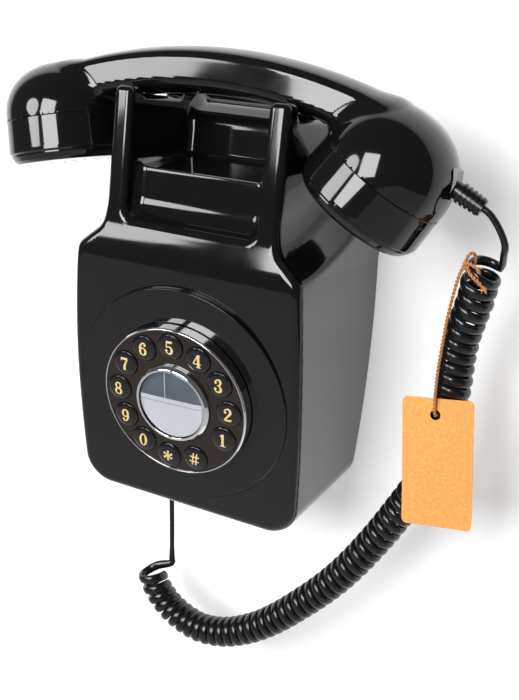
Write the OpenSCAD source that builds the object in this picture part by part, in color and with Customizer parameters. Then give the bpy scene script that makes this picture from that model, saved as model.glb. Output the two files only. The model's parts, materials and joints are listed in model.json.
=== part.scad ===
// Wall telephone with a keypad, a lift-off handset and a curly cord.
// Millimetres. X runs to the right, Y into the wall and Z up. The origin lies
// on the wall, at the centre of the four wall-screw holes.

/* [Case] */
// Depth of the case, from the wall to the front of the cradle posts
case_d = 102; // [96:1:110]
// Width of the case at its widest, at the front
case_w = 121.6; // [118:0.2:130]
// Height at which the bowed sides are widest
wide_z = -48; // [-60:1:-36]
// How much narrower each side is at the shoulder than at its widest
side_taper = 3.4; // [1:0.2:5]
// How much each side spreads from the front to the wall
side_draft = 1.5; // [0.5:0.5:3]
// Distance from the wall-screw centre down to the bottom of the case
case_low = 101.6; // [98:0.2:108]
// Rise of the bottom from its front edge to the wall
low_rise = 3; // [1:0.5:5]
// Radius of the two bottom corners, seen from the front
corner_r = 15; // [10:1:20]
// Wall thickness of the mouldings
wall = 2.5; // [2:0.1:3]
// Lean of the keypad face from the vertical, in degrees
face_tilt = 12.4; // [9:0.2:15]
// Height above which the keypad face bows
bow_z = -44; // [-60:2:-30]
// Radius of that bow
bow_r = 800; // [600:50:1200]
// Height of the ridge between the keypad face and the upright front
ridge_z = 28; // [24:1:32]
// Height of the shoulder at the front corner of each side
shoulder_z = 28; // [24:1:32]
// How far the shoulder climbs on its way to the wall
shoulder_rise = 35; // [28:1:40]

/* [Cradle] */
// Clear width between the two posts
cradle_w = 66; // [60:1:70]
// Width across the outside of the posts, at the top
neck_w = 86.4; // [84:0.2:92]
// Width across the outside of the posts, at the shoulder
neck_foot_w = 91.4; // [91:0.2:98]
// Height at which each post meets the shoulder
neck_foot_z = 38; // [34:1:42]
// Height of the post tops
post_top = 101; // [99:0.5:103]
// Front to back size of the post tops
post_d = 11; // [9:0.5:13]
// Height of the lip between the posts
lip_z = 42; // [38:1:46]
// Height of the front edge of the shelf
shelf_z = 66.5; // [62:0.5:70]
// Rise of the shelf towards the wall
shelf_rise = 5.5; // [3:0.5:7]
// Set-back of the shelf's front edge from the front of the posts
shelf_back = 9; // [6:1:12]
// Distance from the wall to the upright face behind the shelf
rear_d = 50; // [46:1:52]
// Height of the top edge of that face
rear_z = 89; // [86:1:91]
// Height of the block behind the handset
block_top = 104; // [102:0.5:106]

/* [Wall plate] */
// Thickness of the wall plate
plate_t = 3; // [2:0.5:4]
// Spacing of the wall-screw holes from left to right
screw_x = 80; // [70:1:84]
// Spacing of the wall-screw holes up and down
screw_z = 100; // [96:1:104]
// Diameter of the wall-screw holes
screw_hole = 5; // [4:0.5:6]

/* [Dial] */
// Radius of the round surround on the case
surround_r = 55; // [52:1:56]
// Thickness of the surround, which lies in a shallow recess
surround_t = 1.6; // [1.4:0.1:2]
// How far the surround's face stands out of the case
surround_rise = 0.7; // [0.4:0.1:1]
// How far the middle of the dial lies behind the front of the posts
dial_set = 8.2; // [7:0.2:10]
// Radius of the bright rim around the dial plate
rim_r = 38; // [37:0.5:41]
// Height of the dial plate's face above the surround
plate_h = 6.2; // [5:0.2:8]
// Radius of the circle that the buttons stand on
button_ring_r = 29.45; // [28.5:0.05:29.7]
// Diameter of a button
button_d = 12.6; // [11.6:0.1:12.8]
// Height of a button's edge above the dial plate
button_h = 0.6; // [0.4:0.1:2]
// Travel of a button
button_travel = 2; // [1:0.1:2.2]
// Inner radius of the chrome ring around the label
label_r = 17.2; // [15:0.1:17.5]
// Outer radius of the chrome ring around the label
ring_r = 19.7; // [19:0.1:20.5]

/* [Handset] */
// Distance from the wall to the middle plane of the handset
hs_d = 75.5; // [75:0.25:76]
// Radius of the top of the arched handle
arch_r = 245; // [235:1:260]
// Height of the top of the handle
handle_top = 122; // [120:0.5:124]
// Depth of the handle section, measured along the arch's radius
handle_t = 21; // [18:0.5:22]
// Front to back width of the handle
handle_w = 30; // [26:1:31]
// Radius of a cup at its seam
cup_r = 30; // [28:0.5:31]
// Length of a cap below the seam
cap_h = 20.9; // [18:0.1:23]
// Outer radius of a cap at its widest
cap_r = 30.8; // [30.2:0.1:31]
// Wall thickness of the handset mouldings
hs_wall = 3; // [2.5:0.1:3.5]

/* [Cord] */
// Outside diameter of the curly cord
curl_d = 17; // [15:0.5:18]
// Diameter of the straight leads
lead_d = 3.2; // [2.6:0.1:3.6]

/* [Clearances] */
// Gap between parts that slide or rest near each other
gap = 0.3; // [0.2:0.05:0.4]
// Gap around pins and screw shanks
fit = 0.05; // [0.02:0.01:0.1]

/* [Hidden] */
$fn = 64;
KEYS = ["1", "2", "3", "4", "5", "6", "7", "8", "9", "0", "star", "hash"];

// Colours of the finishes
black = "#141416";
dark = "#232326";
brown = "#1d130e";
chrome = "#c9ccd0";
steel = "#a9adb2";
brass = "#c2a05a";
green = "#2f6b3c";
grey = "#6f7c8a";
kraft = "#e0994f";
twine = "#b7976c";
copper = "#a8633a";

// ---- general helpers ----
function lerp(a, b, t) = a + (b - a) * t;
function arc(c, r, a0, a1, n) =
  [for (i = [0 : n]) let (a = lerp(a0, a1, i / n)) [c[0] + r * cos(a), c[1] + r * sin(a)]];
function mirrored(pts) = [for (i = [len(pts) - 1 : -1 : 0]) [-pts[i][0], pts[i][1]]];
function unit(v) = v / norm(v);
function mid_bend(p, q, r) = q + (p - q) / 4 + (r - q) / 4;

// A round bar of radius r and height h that starts at height z
module rod(r, h, z = 0) {
  translate([0, 0, z]) cylinder(r = r, h = h);
}
// A block given by its low and high corners
module block(low, high) {
  translate(low) cube(high - low);
}
// A screw whose head stands on z = 0 and whose shank runs down
module screw(head_r, head_h, shank_r, shank_l) {
  rod(head_r, head_h);
  rod(shank_r, shank_l + 0.01, -shank_l);
}
// Stands children on the inner face of the wall plate, with +z towards the room
module on_plate(x, z) {
  translate([x, -plate_t, z]) rotate([90, 0, 0]) children();
}
// Turns a (depth, height) outline into a slab that is w wide in X
module side_slab(w) {
  rotate([90, 0, 90]) translate([0, 0, -w / 2]) linear_extrude(w) children();
}

// ---- case outlines ----
front_y = -case_d;
low_z = -case_low;
// How far the neck's foot stands out on each side
neck_flare = (neck_foot_w - neck_w) / 2;
// Height of the dial's centre, and the depth of the surround's face there
dial_z = -38;
dial_y = front_y + dial_set;
// The keypad face, as depth at a height
function face_y(z) = dial_y + surround_rise / cos(face_tilt)
  + (dial_z - z) * tan(face_tilt) + pow(max(0, z - bow_z), 2) / (2 * bow_r);
function climb(d) = max(0, 1 - d / case_d);
// Half width of the case at depth d from the wall and height z
function half_w(d, z) = case_w / 2 + side_draft * climb(d)
  - side_taper * pow((min(z, shoulder_z) - wide_z) / (shoulder_z - wide_z), 2);
function shoulder_at(d) = shoulder_z + shoulder_rise * pow(climb(d), 1.45);
function foot_at(d) = neck_foot_z + shoulder_rise * 1.25 * pow(climb(d), 1.6);
function low_at(d) = low_z + low_rise * climb(d);

// Right half of the case's outline at depth d, set in by e, up to height top
function case_half(d, e, top) =
  let (
    r = corner_r - e,
    zb = low_at(d) + e,
    hb = half_w(d, low_z) - e,
    ramp = 0.43 * e,
    corner = [half_w(d, shoulder_at(d)) - e, shoulder_at(d) - ramp],
    foot = [neck_foot_w / 2 - e, foot_at(d) - ramp],
    u = unit(foot - corner),
    c0 = [half_w(d, corner[1] - 5) - e, corner[1] - 5],
    c1 = corner + u * 5,
    f0 = foot - u * 3,
    f1 = foot + [-neck_flare * 0.3, 5]
  )
  concat(
    arc([hb - r, zb + r], r, -90, 0, 7),
    [for (z = [-70, wide_z, -20, 0, 14]) [half_w(d, z) - e, z]],
    [c0, mid_bend(c0, corner, c1), c1, f0, mid_bend(f0, foot, f1), f1],
    [foot + [-neck_flare * 0.85, 14], [neck_w / 2 - e, top]]
  );
function case_ring(d, e, top) =
  let (h = case_half(d, e, top)) concat(h, mirrored(h));

// The case swept from front to wall, before its side outline is cut
module case_sweep(e, front, back, top) {
  steps = 10;
  rings = [for (i = [0 : steps]) let (d = lerp(front, back, i / steps))
    [for (p = case_ring(d, e, top)) [p[0], -d, p[1]]]];
  n = len(rings[0]);
  polyhedron([for (ring = rings) each ring], concat(
    [[for (j = [n - 1 : -1 : 0]) j]],
    [for (i = [0 : steps - 1], j = [0 : n - 1])
      let (k = (j + 1) % n) [i * n + j, i * n + k, (i + 1) * n + k, (i + 1) * n + j]],
    [[for (j = [0 : n - 1]) steps * n + j]]
  ), convexity = 6);
}

// ---- handset places ----
// Centre of the arch, and the middle of each cup's seam with its lean
arch_x = -3;
arch_z = handle_top - arch_r;
under_r = arch_r - handle_t;
function handle_under(x) = arch_z + sqrt(pow(under_r, 2) - pow(x - arch_x, 2));
ear_place = [-85.3, -hs_d, 82.5];
ear_lean = -12.8;
ear_dome_h = 26.5;
mouth_place = [78.4, -hs_d, 75.6];
mouth_lean = 32.4;
mouth_dome_h = 31;
module in_ear() {
  translate(ear_place) rotate([0, ear_lean, 0]) children();
}
module in_mouth() {
  translate(mouth_place) rotate([0, mouth_lean, 0]) children();
}

// ---- the cradle ----
// Middle of a hollow cheek, where a plunger runs
cheek_x = (cradle_w + neck_w) / 4;
plunger_r = (neck_w - cradle_w) / 4 - wall - gap;
// Height of the saddle that the handle rests in
saddle = min(handle_under(neck_w / 2), handle_under(-neck_w / 2)) - gap;
saddle_front = case_d - post_d;
saddle_rear = hs_d - handle_w / 2 - 3;

// Side outline of the case; back is where it ends on the wall side
ridge = [face_y(ridge_z), ridge_z];
upright = [front_y, lip_z - 2];
module case_side(back) {
  below = [face_y(ridge_z - 6), ridge_z - 6];
  above = lerp(ridge, upright, 0.5);
  offset(r = 3) offset(delta = -3) polygon(concat(
    [[back, low_z + low_rise]],
    [for (z = [low_z, bow_z, -22, 0]) [face_y(z), z]],
    [below, mid_bend(below, ridge, above), above, upright],
    [[front_y, post_top], [-saddle_front, post_top]],
    [[-saddle_front + 0.6, saddle + 1.5], [-saddle_front + 3, saddle]],
    [[-saddle_rear - 3, saddle], [-saddle_rear, saddle + 0.8]],
    [[-saddle_rear + 0.5, block_top], [back, block_top]]
  ));
}
// Outside of the case
module case_solid() {
  intersection() {
    case_sweep(0, case_d + 6, 0, block_top + 6);
    side_slab(case_w + 20) intersection() {
      case_side(8);
      translate([-case_d - 9, low_z - 9]) square([case_d + 9, case_low + block_top + 18]);
    }
  }
}
// Room inside the case, open towards the wall
module case_room() {
  intersection() {
    case_sweep(wall, case_d + 6, -3, block_top + 6);
    side_slab(case_w + 20) offset(delta = -wall) case_side(8);
  }
}
// The space between the posts, widened by e all round
module cradle_space(e) {
  edge = front_y + shelf_back;
  dz = shelf_z - lip_z;
  side_slab(cradle_w + 2 * e) offset(delta = e) polygon([
    [front_y - 12, lip_z], [front_y + 0.5, lip_z], [front_y + shelf_back * 0.4, lip_z + dz * 0.06],
    [front_y + shelf_back * 0.67, lip_z + dz * 0.2], [front_y + shelf_back * 0.83, lip_z + dz * 0.42],
    [edge - shelf_back * 0.07, lip_z + dz * 0.75], [edge, shelf_z],
    [-rear_d, shelf_z + shelf_rise], [-rear_d, rear_z], [-rear_d + 2, rear_z + 4],
    [-rear_d + 8, rear_z + 8], [-rear_d + 17, rear_z + 10], [-rear_d + 17, block_top + 30],
    [front_y - 12, block_top + 30]
  ]);
}

// ---- dial frame: x to the right, y up the keypad face, z out of it ----
case_n = -surround_t;
module on_dial() {
  translate([0, dial_y, dial_z]) rotate([90 + face_tilt, 0, 0]) children();
}
// Buttons run 1 to 9, 0, star and hash, with a wide space after the last
first_key = -24.58;
key_step = 28.87;
module at_key(i) {
  a = first_key + key_step * i;
  translate([button_ring_r * cos(a), button_ring_r * sin(a), 0]) children();
}
// The keypad frame hangs behind a boss of this thickness
boss_t = 3.9;
inner_n = case_n - boss_t;
face_plate_t = 2.2;
flange_top = plate_h - face_plate_t - gap;
flange_t = 1.5;
flange_r = button_d / 2 + 0.7;
stem_low = flange_top - flange_t - 4.6;
dome_top = stem_low - button_travel - gap;
mat_top = dome_top - 1.6;
mat_t = 1.5;
board_t = 1.6;
frame_r = rim_r - 1;
frame_flange_t = 2.4;
keypad_screw_ring = rim_r + 2.4;
keypad_screw_r = 1.2;
KEYPAD_SCREWS = [45, 135, 225, 315];
module keypad_screw_places() {
  for (a = KEYPAD_SCREWS) rotate(a) translate([keypad_screw_ring, 0, 0]) children();
}

// ---- parts of the case ----
case_screw_x = 32;
case_screw_d = 12;
case_screw_r = 1.45;
gland_x = 22.8 - case_w / 2;
gland_d = 25;
gland_r = 4;
lug_w = 12;
lug_h = 6;
lug_z = low_at(case_screw_d) + wall + gap;
module case_screw_places(z) {
  for (s = [-1, 1]) translate([s * case_screw_x, -case_screw_d, z]) children();
}
module case_shell() {
  color(black) difference() {
    union() {
      difference() {
        union() {
          case_solid();
          on_dial() rod(surround_r - gap, boss_t, inner_n);
        }
        difference() {
          case_room();
          cradle_space(wall);
        }
      }
      on_dial() rod(keypad_screw_ring + 3, boss_t, inner_n);
    }
    cradle_space(0);
    on_dial() rod(surround_r + gap, 20, case_n);
    on_dial() rod(frame_r + gap, 20, -12);
    on_dial() keypad_screw_places() rod(keypad_screw_r + fit, wall * 0.7 + 1, inner_n - 1);
    for (s = [-1, 1]) translate([s * cheek_x, -hs_d, 0]) rod(plunger_r + gap, 40, saddle - 20);
    case_screw_places(low_z - 5) cylinder(r = case_screw_r + gap, h = 12);
    translate([gland_x, -gland_d, low_z - 5]) cylinder(r = gland_r + fit, h = 12);
  }
}
module wall_plate() {
  edge = wall + gap;
  color(steel) difference() {
    union() {
      intersection() {
        rotate([90, 0, 0]) linear_extrude(plate_t) polygon(case_ring(plate_t, edge, block_top));
        block([-100, -50, low_z - 5], [100, 50, block_top - edge]);
      }
      for (s = [-1, 1])
        block([s * case_screw_x - lug_w / 2, -case_screw_d - 6, lug_z],
          [s * case_screw_x + lug_w / 2, -plate_t + 0.01, lug_z + lug_h]);
    }
    for (sx = [-1, 1], sz = [-1, 1])
      translate([sx * screw_x / 2, 1, sz * screw_z / 2]) rotate([90, 0, 0])
        cylinder(d = screw_hole, h = plate_t + 2);
    case_screw_places(lug_z - 1) cylinder(r = case_screw_r + fit, h = lug_h + 2);
  }
}
module case_screws() {
  head_z = low_at(case_screw_d) - gap / 3;
  color(steel) case_screw_places(head_z) rotate([180, 0, 0])
    screw(3.2, 1.6, case_screw_r, wall + gap + lug_h);
}
module cord_gland() {
  top = low_at(gland_d) + wall;
  color(dark) translate([gland_x, -gland_d, 0]) difference() {
    union() {
      rod(gland_r, wall + 5, top - wall - 5);
      rod(gland_r + 1.6, 1.6, top + gap);
      rod(gland_r, 1, top - 0.2);
      rod(gland_r + 1.6, 1.6, low_z - 1.6 - fit);
    }
    rod(lead_d / 2 + fit, 30, top - 20);
  }
}

// ---- dial ----
module dial_surround() {
  color(black) on_dial() difference() {
    union() {
      rod(surround_r, surround_t - 0.5, case_n);
      translate([0, 0, -0.51]) cylinder(r1 = surround_r, r2 = surround_r - 0.5, h = 0.51);
    }
    rod(rim_r + gap, surround_t + 2, case_n - 1);
  }
}
module dial_rim() {
  low = case_n + gap;
  color(chrome) on_dial() difference() {
    union() {
      rod(rim_r, plate_h - 0.6 - low, low);
      translate([0, 0, plate_h - 0.61]) cylinder(r1 = rim_r, r2 = rim_r - 0.8, h = 1.01);
    }
    rod(frame_r + fit, 30, -15);
  }
}
module dial_plate() {
  color(brown) on_dial() difference() {
    rod(frame_r, face_plate_t, plate_h - face_plate_t);
    for (i = [0 : len(KEYS) - 1]) at_key(i) rod(button_d / 2 + gap, 10, plate_h - 6);
    rod(2.5, 10, plate_h - 6);
  }
}
module label_ring() {
  color(chrome) on_dial() difference() {
    union() {
      rod(ring_r, 1.6, plate_h + fit);
      translate([0, 0, plate_h + 1.6]) cylinder(r1 = ring_r, r2 = label_r + 0.6, h = 1.4);
    }
    rod(label_r, 10, plate_h - 1);
  }
}
label_card_t = 0.5;
module label_card() {
  color(grey) on_dial() rod(label_r - gap, label_card_t, plate_h + fit);
}
module label_lens() {
  low = plate_h + fit + label_card_t + fit;
  color([0.8, 0.85, 0.9, 0.35]) on_dial() {
    rod(label_r - gap / 2, 1.8, low);
    translate([0, 0, low + 1.79]) cylinder(r1 = label_r - gap / 2, r2 = label_r - 1.6, h = 0.9);
  }
}
// A button: domed cap, a flange that stops it under the dial plate, and a stem
module button(i) {
  r = button_d / 2;
  color(black) on_dial() at_key(i) {
    rod(r, plate_h + button_h - flange_top + flange_t, flange_top - flange_t);
    rod(flange_r, flange_t, flange_top - flange_t);
    rod(2.2, flange_top - flange_t - stem_low + 0.01, stem_low);
    translate([0, 0, plate_h + button_h - 0.01]) cylinder(r1 = r, r2 = r - 0.9, h = 0.55);
    translate([0, 0, plate_h + button_h + 0.53]) cylinder(r1 = r - 0.9, r2 = r - 3, h = 0.5);
  }
}
module keypad_frame() {
  low = mat_top - mat_t - board_t - gap;
  color(dark) on_dial() difference() {
    union() {
      rod(frame_r, plate_h - face_plate_t - fit - low, low);
      rod(keypad_screw_ring + 3, frame_flange_t, inner_n - fit - frame_flange_t);
    }
    rod(frame_r - 1.8, plate_h - mat_top + 20, mat_top);
    rod(frame_r - 3.4, 40, low - 1);
    rod(frame_r - 2.4, mat_top - low + 0.01, low - 0.01);
    keypad_screw_places() rod(keypad_screw_r + fit, 20, inner_n - 10);
    for (i = [0 : len(KEYS) - 1]) at_key(i) rod(flange_r + gap, plate_h + 1, stem_low);
  }
}
module keypad_screws() {
  color(steel) on_dial() keypad_screw_places()
    translate([0, 0, inner_n - 2 * fit - frame_flange_t]) rotate([180, 0, 0])
      screw(2.3, 1.5, keypad_screw_r, frame_flange_t + wall * 0.6);
}
module keypad_mat() {
  color("#55585c") on_dial() {
    rod(frame_r - 2.6, mat_t, mat_top - mat_t);
    for (i = [0 : len(KEYS) - 1]) at_key(i) {
      translate([0, 0, mat_top - 0.01]) cylinder(r1 = 3.6, r2 = 2.4, h = dome_top - mat_top + 0.01);
    }
  }
}
module keypad_board() {
  color(green) on_dial() rod(frame_r - 2.6, board_t, mat_top - mat_t - board_t - fit);
}

// ---- electronics on the wall plate ----
board_low = 10;
board_high = 36;
board_half = 46;
board_d = 9;
board_front = plate_t + board_d + board_t;
pillar_x = 42;
PILLAR_Z = [board_low + 4, board_high - 4];
module pillar_places() {
  for (s = [-1, 1], z = PILLAR_Z) on_plate(s * pillar_x, z) children();
}
module main_board() {
  color(green) difference() {
    block([-board_half, -board_front, board_low], [board_half, board_t - board_front, board_high]);
    pillar_places() rod(1.5, board_t + 2, board_d - 1);
  }
}
module board_pillars() {
  color(steel) pillar_places() difference() {
    rod(2.6, board_d);
    rod(1.1 + fit, 7, board_d - 6);
  }
}
module board_screws() {
  color(steel) pillar_places() translate([0, 0, board_d + board_t]) screw(2.4, 1.4, 1.1, 6.5);
}
// Middle height of the parts on the board
part_z = (board_low + board_high) / 2;
transformer_x = -22;
module transformer() {
  color(dark) {
    block([transformer_x - 10, -board_front - 2, part_z - 9], [transformer_x + 10, -board_front, part_z + 9]);
    block([transformer_x - 9, -board_front - 15, part_z - 6],
      [transformer_x + 9, -board_front - 1.99, part_z + 6]);
  }
  color(copper) block([transformer_x - 7, -board_front - 13, part_z - 8.5],
    [transformer_x + 7, -board_front - 4, part_z + 8.5]);
}
module capacitors() {
  color("#33507a") for (x = [2, 13, 24])
    translate([x, -board_front, part_z - 1]) rotate([90, 0, 0]) {
      rod(4.2, 12);
      rod(4.6, 1);
    }
}
terminal_x = 36;
module terminal_block() {
  color("#d8d4c8") difference() {
    block([terminal_x - 4, -board_front - 10, part_z - 7], [terminal_x + 4, -board_front, part_z + 7]);
    for (z = [-3.5, 0, 3.5])
      translate([terminal_x, -board_front - 7, part_z + z]) rotate([90, 0, 0]) rod(1.2, 8);
  }
}

// ---- ringer ----
clapper_ball_r = 2.5;
// Each gong fills its half of the case, from the ball's swing to the side wall
gong_in = clapper_ball_r + 2;
gong_out = case_w / 2 - wall - 4;
gong_x = (gong_out + gong_in) / 2;
gong_r = (gong_out - gong_in) / 2;
gong_z = -58;
gong_rim_d = 9;
gong_crown_d = 23;
gong_t = 1.2;
clapper_d = 15;
clapper_pivot_z = -30;
module gong(s) {
  // Bell metal cup, open towards the wall
  cup = concat(
    [[1.6, gong_crown_d], [gong_r * 0.55, gong_crown_d]],
    arc([gong_r - 8, gong_crown_d - 8], 8, 70, 0, 5),
    [[gong_r, gong_rim_d], [gong_r - gong_t, gong_rim_d]],
    arc([gong_r - 8, gong_crown_d - 8], 8 - gong_t, 0, 70, 5),
    [[gong_r * 0.55, gong_crown_d - gong_t], [1.6, gong_crown_d - gong_t]]
  );
  color(brass) on_plate(s * gong_x, gong_z) rotate_extrude() polygon(cup);
}
module gong_posts() {
  color(steel) for (s = [-1, 1]) on_plate(s * gong_x, gong_z) difference() {
    rod(4, gong_crown_d - gong_t - fit);
    rod(1.45 + fit, 10, gong_crown_d - 9);
  }
}
module gong_screws() {
  color(steel) for (s = [-1, 1]) on_plate(s * gong_x, gong_z)
    translate([0, 0, gong_crown_d + fit]) screw(3.4, 1.8, 1.45, 8.5);
}
coil_x = 11.5;
coil_r = 8.5;
core_r = 3;
coil_low = -22;
coil_high = 2;
yoke_t = 2;
// Half width of the ringer's yoke, a little outside its coils
yoke_half = coil_x + coil_r + 3;
yoke_d = clapper_d + coil_r + 0.5;
module ringer_frame() {
  color(steel) difference() {
    union() {
      on_plate(-yoke_half, coil_low - yoke_t)
        cube([2 * yoke_half, coil_high - coil_low + 2 * yoke_t, yoke_t]);
      for (z = [coil_high, coil_low - yoke_t])
        block([1 - yoke_half, -plate_t - yoke_d, z], [yoke_half - 1, -plate_t - yoke_t + 0.01, z + yoke_t]);
      for (d = [8, 20]) block([-3.5, -plate_t - d - yoke_t, clapper_pivot_z - 3],
        [3.5, -plate_t - d, coil_low - yoke_t + 0.01]);
    }
    for (s = [-1, 1]) translate([s * coil_x, -plate_t - clapper_d, coil_low - 10])
      rod(core_r + fit, 60);
    on_plate(0, clapper_pivot_z) rod(1 + fit, 40);
  }
}
module ringer_coils() {
  color(copper) for (s = [-1, 1]) translate([s * coil_x, -plate_t - clapper_d, 0]) difference() {
    union() {
      rod(coil_r - 1, coil_high - coil_low - 2 * gap, coil_low + gap);
      rod(coil_r, 1.2, coil_low + gap);
      rod(coil_r, 1.2, coil_high - gap - 1.2);
    }
    rod(core_r + fit, 60, coil_low - 5);
  }
}
module ringer_cores() {
  color(steel) for (s = [-1, 1]) translate([s * coil_x, -plate_t - clapper_d, 0]) {
    rod(core_r, coil_high - coil_low + 2 * yoke_t + 1, coil_low - yoke_t - 1);
    rod(core_r + 1.5, 1.5, coil_high + yoke_t + fit);
  }
}
clapper_half = coil_x + core_r + 1;
module clapper() {
  color(steel) difference() {
    union() {
      block([-clapper_half, -plate_t - clapper_d - 3, clapper_pivot_z - 1.6],
        [clapper_half, -plate_t - clapper_d + 3, clapper_pivot_z + 1.6]);
      translate([0, -plate_t - clapper_d, gong_z]) rod(1, clapper_pivot_z - gong_z);
      translate([0, -plate_t - clapper_d, gong_z]) sphere(r = clapper_ball_r);
    }
    on_plate(0, clapper_pivot_z) rod(1 + fit, 40);
  }
}
module clapper_pin() {
  color(steel) on_plate(0, clapper_pivot_z) {
    rod(1, 16, 7.5);
    rod(1.8, 0.8, 22 + fit);
  }
}

// ---- hook switch ----
arm_z = 42;
arm_t = 2;
arm_reach = hs_d + 10;
bracket_h = 16;
bar_z = 52;
bar_h = 6;
// Travel of the hook yoke between handset down and handset off
hook_travel = 6;
guide_r = 2;
module hook_bracket() {
  color(steel) difference() {
    union() {
      block([-18, -plate_t - arm_t, arm_z - 1], [18, -plate_t, arm_z + bracket_h]);
      block([-14, -arm_reach, arm_z], [14, -plate_t, arm_z + arm_t]);
      translate([0, -hs_d, 0]) rod(guide_r, bar_z + hook_travel + 4 - arm_z, arm_z);
    }
    for (s = [-1, 1]) on_plate(s * 11, arm_z + 11) rod(1.5 + fit, 6, -1);
  }
}
module hook_screws() {
  color(steel) for (s = [-1, 1]) on_plate(s * 11, arm_z + 11)
    translate([0, 0, 2 + fit]) screw(2.8, 1.6, 1.5, 2);
}
module hook_spring() {
  // A close coil, drawn as stacked rings around the guide
  turns = 5;
  wire = 0.45;
  free = bar_z - arm_z - arm_t;
  color(steel) translate([0, -hs_d, arm_z + arm_t + wire]) difference() {
    union() {
      for (i = [0 : turns - 1]) translate([0, 0, i * (free - 2 * wire) / (turns - 1)])
        rotate_extrude() translate([guide_r + 1.2, 0]) circle(r = wire, $fn = 16);
      for (a = [0, 180]) rotate(a) translate([guide_r + 1.2, 0, 0]) rod(wire * 0.8, free - 2 * wire);
    }
  }
}
module hook_switch() {
  color(dark) block([7, -hs_d - 6, arm_z + arm_t], [13, -hs_d + 8, bar_z - 1.2]);
  color("#b03028") translate([10, -hs_d, bar_z - 1.3]) rod(1, 1.3 - gap / 2);
}
module hook_yoke() {
  reach = cheek_x + plunger_r;
  tip = saddle - 0.2;
  color(dark) difference() {
    union() {
      block([-reach, -hs_d - 3, bar_z], [reach, -hs_d + 3, bar_z + bar_h]);
      for (s = [-1, 1]) translate([s * cheek_x, -hs_d, 0]) {
        rod(plunger_r, tip - bar_z - plunger_r, bar_z);
        translate([0, 0, tip - plunger_r]) intersection() {
          sphere(r = plunger_r);
          rod(plunger_r, plunger_r, -0.01);
        }
      }
    }
    translate([0, -hs_d, 0]) rod(guide_r + 0.1, bar_h + 2, bar_z - 1);
  }
}

// ---- handset ----
// Half outline of a dome of height h and radius r, from its seam to its top
function dome(r, h, n = 10) =
  [for (i = [0 : n]) let (a = 90 * i / n) [r * pow(cos(a), 0.9), h * pow(sin(a), 0.9)]];
module cup_solid(r, h) {
  rotate_extrude() polygon(concat([[0, 0]], dome(r, h)));
}
// The arched handle, set in by e
module handle_bar(e) {
  w = handle_w / 2 - e;
  r0 = under_r + e;
  r1 = arch_r - e;
  sweep = [48, 131];
  translate([arch_x, -hs_d, arch_z]) rotate([90, 0, 0]) rotate([0, 0, sweep[0] + 22])
    rotate_extrude(angle = sweep[1] - sweep[0] - 44, $fn = 180) polygon([
      [r0, -w + 4], [r0 + 3.5, -w], [r1 - 5, -w + 0.8], [r1 - 2.5, -w + 3], [r1 - 0.6, -w + 7], [r1, 0],
      [r1 - 0.6, w - 7], [r1 - 2.5, w - 3], [r1 - 5, w - 0.8], [r0 + 3.5, w], [r0, w - 4]
    ]);
}
module handset_shell() {
  color(black) difference() {
    union() {
      handle_bar(0);
      in_ear() cup_solid(cup_r, ear_dome_h);
      in_mouth() cup_solid(cup_r, mouth_dome_h);
    }
    handle_bar(hs_wall);
    in_ear() translate([0, 0, -0.01]) cup_solid(cup_r - hs_wall, ear_dome_h - hs_wall);
    in_mouth() translate([0, 0, -0.01]) cup_solid(cup_r - hs_wall, mouth_dome_h - hs_wall);
    in_ear() rod(cup_r + 10, 60, -60);
    in_mouth() rod(cup_r + 10, 60, -60);
    relief_hole(relief_r + fit);
  }
}
// A screwed cap below a seam, with its sound holes
module cap(holes) {
  seam = 0.15;
  inner = cap_r - 3.2;
  collar = cup_r - hs_wall - fit;
  color(black) difference() {
    rotate_extrude() polygon([
      [0, -cap_h], [cap_r - 3.5, -cap_h], [cap_r - 2.2, -cap_h + 1.3], [cap_r - 0.8, -cap_h + 3.6],
      [cap_r - 0.8, -cap_h + 4.4], [cap_r, -cap_h + 5.2], [cap_r, -cap_h + 6.5], [cup_r, -seam],
      [collar, -seam], [collar, 5], [collar - 2, 5], [inner - 3, -cap_h + 9], [inner - 3, -cap_h + 3],
      [0, -cap_h + 3]
    ]);
    for (ring = holes, i = [0 : ring[1] - 1]) rotate(360 * i / ring[1])
      translate([ring[0], 0, -cap_h - 1]) cylinder(r = 1.1, h = 6);
  }
}
SOUND_HOLES = [[0, 1], [6, 6], [12, 12]];
module ear_cap() {
  in_ear() cap(SOUND_HOLES);
}
module mouth_cap() {
  in_mouth() cap(SOUND_HOLES);
}
capsule_r = cap_r - 3.2 - 3 - gap;
module capsule(h) {
  low = -cap_h + 3 + fit;
  rod(capsule_r, 3, low);
  rod(capsule_r - 3, h, low);
  rod(6, h + 3, low);
}
receiver_h = 9;
module receiver_capsule() {
  color(steel) in_ear() capsule(receiver_h);
}
module microphone_capsule() {
  color(steel) in_mouth() capsule(6);
}
module ballast_weight() {
  disc_low = 3 + fit;
  stalk_low = receiver_h + 6 + 2 * fit - cap_h;
  color(steel) in_ear() {
    rod(14, 10, disc_low);
    rod(5, disc_low + 1 - stalk_low, stalk_low);
  }
}
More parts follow.
